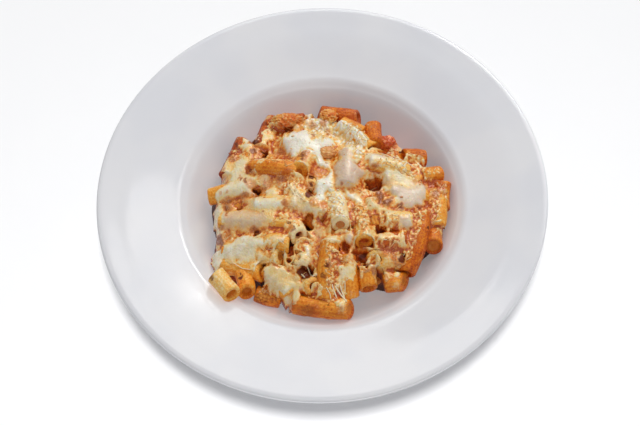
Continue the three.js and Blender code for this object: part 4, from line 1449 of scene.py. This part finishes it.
def make_strands(heap):
    """Threads of pulled cheese at their places, and shreds wherever the crusts lie open."""
    template = strand_template()
    shape = points_of(template) * MM
    bm = bmesh.new()
    tone = []
    for number, (radius, places) in enumerate(THREADS):
        ends = [heap.under_pixel(*place) for place in places]
        path = [(p.x, p.y, float(heap.sample(heap.cover, p.x, p.y)) + radius * 0.6) for p in ends]
        laid = lay_strand(bm, template, shape, path, radius)
        tone += [0.04 + 0.1 * math.sin(number)] * laid
    x, y, view = scattered(heap, **SHREDS)
    chance = SHREDS["elsewhere"] * smooth_step(inside_distance(view, FILM), 0, 4)
    for *_, outline in CRUSTS.values():
        on_crust = smooth_step(inside_distance(view, outline), -2, 2)
        chance = np.maximum(chance, SHREDS["on_crust"] * on_crust)
    for *_, outline in POOLS.values():
        chance *= 1 - smooth_step(inside_distance(view, outline), -1, 2)
    chance *= heap.sample(heap.before_ends, x, y) < 0.05
    pick = spread(np.arange(len(x)), "pick")
    for i in np.nonzero(pick < chance)[0][:SHREDS["most"]]:
        heading = -0.7 + 1.5 * math.sin(i * 2.3)
        length = one_size(SHREDS["length"], spread(i, "length"))
        curl = 0.35 * math.sin(i * 1.1)
        path = []
        for k in range(SHRED_POINTS):
            share = k / (SHRED_POINTS - 1) - 0.5
            turn = heading + curl * share
            px = x[i] + length * share * math.cos(turn)
            py = y[i] + length * share * math.sin(turn)
            path.append((px, py, float(heap.sample(heap.cover, px, py)) + 0.02))
        steep = max(abs(a[2] - b[2]) for a, b in zip(path, path[1:]))
        if steep < SHRED_STEEPEST:
            radius = one_size(SHREDS["radius"], spread(i, "size"))
            laid = lay_strand(bm, template, shape, path, radius)
            tone += [0.46 + 0.16 * math.sin(i * 1.7)] * laid
    mesh = mesh_of("cheese_strands", bm)
    bpy.data.meshes.remove(template)
    set_field(mesh, "tone", tone)
    new_object("cheese_strands", mesh, crumb_material())


# Lumps of sauce and tomato: middle, and radii along x, y and z.
LUMPS = {
    "tomato_chunk": ((47, 39, 41.5), (5.4, 4.2, 3.6)),
    "brown_chunk": ((5, 29.5, 47.4), (6.2, 4.4, 2.2)),
    "sauce_lump_end": ((-46, 22, 43.5), (4.2, 5.4, 5.4)),
    "sauce_lump_left": ((-21, 61, 41.5), (10.5, 5.0, 3.2)),
    "sauce_lump_right": ((8, 62, 42), (6.0, 5.0, 3.5)),
}


def make_lumps():
    sauce = bed_material()
    paints = {"tomato_chunk": tomato_material(), "brown_chunk": crumb_material()}
    for number, (name, (middle, size)) in enumerate(LUMPS.items()):
        bm = bmesh.new()
        bmesh.ops.create_icosphere(bm, subdivisions=5, radius=1.0)
        mesh = mesh_of(name, bm)
        ball = points_of(mesh) * MM
        grain = 0.6 * max(size)
        bumps = np.array([
            noise.fractal((x * grain + number * 4, y * grain, z * grain), 0.7, 2.2, 4)
            for x, y, z in ball])
        points = ball * (1 + 0.2 * bumps)[:, None] * np.array(size) + np.array(middle)
        set_points(mesh, points)
        # Darker in the dents between the bumps: painted shade, through the bed's colour ramp.
        set_field(mesh, "deep", 0.22 - 0.7 * bumps)
        set_field(mesh, "relief", 0 * bumps)
        set_field(mesh, "tone", 0.62 + 0.25 * bumps)
        paint_by_view(mesh, points)
        new_object(name, mesh, paints.get(name, sauce), ["pasta_heap"])


# ---------------------------------------------------------------- light and floor


def floor_material():
    s = Surface("pale_floor")
    cloud = s.noise(60.0, 1.0)
    colour = s.mix(cloud, (249, 249, 250), (251, 251, 251))
    return s.finish(Base_Color=colour, Roughness=0.6 + 0.02 * cloud)


FLOOR_HALF = 3.0  # metres


def make_floor():
    bm = bmesh.new()
    bmesh.ops.create_grid(bm, x_segments=1, y_segments=1, size=FLOOR_HALF)
    mesh = mesh_of("floor", bm)
    mesh.materials.append(floor_material())
    floor = bpy.data.objects.new("floor", mesh)
    bpy.context.scene.collection.objects.link(floor)
    return floor


# Where lights stand, in millimetres, and their sizes across and along.
ROOM = ((520, 1080, 1180), (1500, 900))
WINDOW = ((506, 993, 1004), (420, 140))
FRONT = ((60, -900, 1250), (900, 700))
FAR = ((0, -1300, 700), (900, 600))
AIM = (0, 0, 30)  # what they all look at

# Soft lights on the food: place, size, watts, colour.
FOOD_LIGHTS = {
    "daylight": (*ROOM, 14.2, (1.0, 0.965, 0.88)),
    "window": (*WINDOW, 2.2, (1.0, 0.99, 0.96)),
    "front_fill": (*FRONT, 3.2, (1.0, 0.95, 0.91)),
}
# The same on the dish, and whether the glaze mirrors each and whether the food shades it.
DISH_LIGHTS = {
    "dish_daylight": (*ROOM, 4.2, (1.0, 0.995, 0.98), False, False),
    "dish_mirrored": (*ROOM, 8.6, (1.0, 0.995, 0.98), True, False),
    "dish_shaded": (*ROOM, 4.6, (1.0, 0.995, 0.98), False, True),
    "dish_front": (*FRONT, 1.2, (1.0, 0.95, 0.91), True, False),
    "dish_far_wall": (*FAR, 3.9, (1.0, 1.0, 1.0), False, False),
    "dish_window": (*WINDOW, 2.2, (1.0, 1.0, 1.0), True, False),
}
FLOOR_LIGHT = ((40, -500, 2000), (340, 340), 30.0, (1.0, 1.0, 1.0))
WORLD = ((0.97, 0.98, 1.0, 1.0), 0.38)  # colour and strength


def area_light(name, middle, size, watts, colour):
    data = bpy.data.lights.new(name, "AREA")
    data.shape = "RECTANGLE"
    data.size, data.size_y = size[0] * MM, size[1] * MM
    data.energy = watts
    data.color = colour
    light = bpy.data.objects.new(name, data)
    light.location = Vector(middle) * MM
    aim = Vector(AIM) - Vector(middle)
    light.rotation_euler = aim.to_track_quat("-Z", "Y").to_euler()
    bpy.context.scene.collection.objects.link(light)
    return light


def holding(name, *pieces, state="INCLUDE"):
    """A collection that names pieces for the linking of lights."""
    group = bpy.data.collections.new(name)
    for piece in pieces:
        group.objects.link(piece)
    for entry in group.collection_objects:
        entry.light_linking.link_state = state
    return group


def make_lights(floor, dish):
    """Lights on the food, the dish and the floor, each kept to its own, and the room's light."""
    for name, setting in FOOD_LIGHTS.items():
        linking = area_light(name, *setting).light_linking
        linking.receiver_collection = holding(name + "_not_on", dish, floor, state="EXCLUDE")
    linking = area_light("table_light", *FLOOR_LIGHT).light_linking
    linking.receiver_collection = holding("table", floor)
    for name, (*setting, mirrored, shaded) in DISH_LIGHTS.items():
        light = area_light(name, *setting)
        light.visible_glossy = mirrored
        light.light_linking.receiver_collection = holding(name + "_on", dish)
        if not shaded:
            light.light_linking.blocker_collection = holding(name + "_by", dish)
    world = bpy.data.worlds.new("room")
    world.use_nodes = True
    background = world.node_tree.nodes["Background"]
    for name, value in zip(("Color", "Strength"), WORLD):
        background.inputs[name].default_value = value
    bpy.context.scene.world = world


scene = bpy.context.scene
scene.view_settings.view_transform = "Standard"
make_camera()
make_lights(make_floor(), make_dish())
heap = Heap()
make_tubes(heap)
make_bed_piece(heap)
make_cheese(heap)
make_crumbs(heap)
make_strands(heap)
make_lumps()
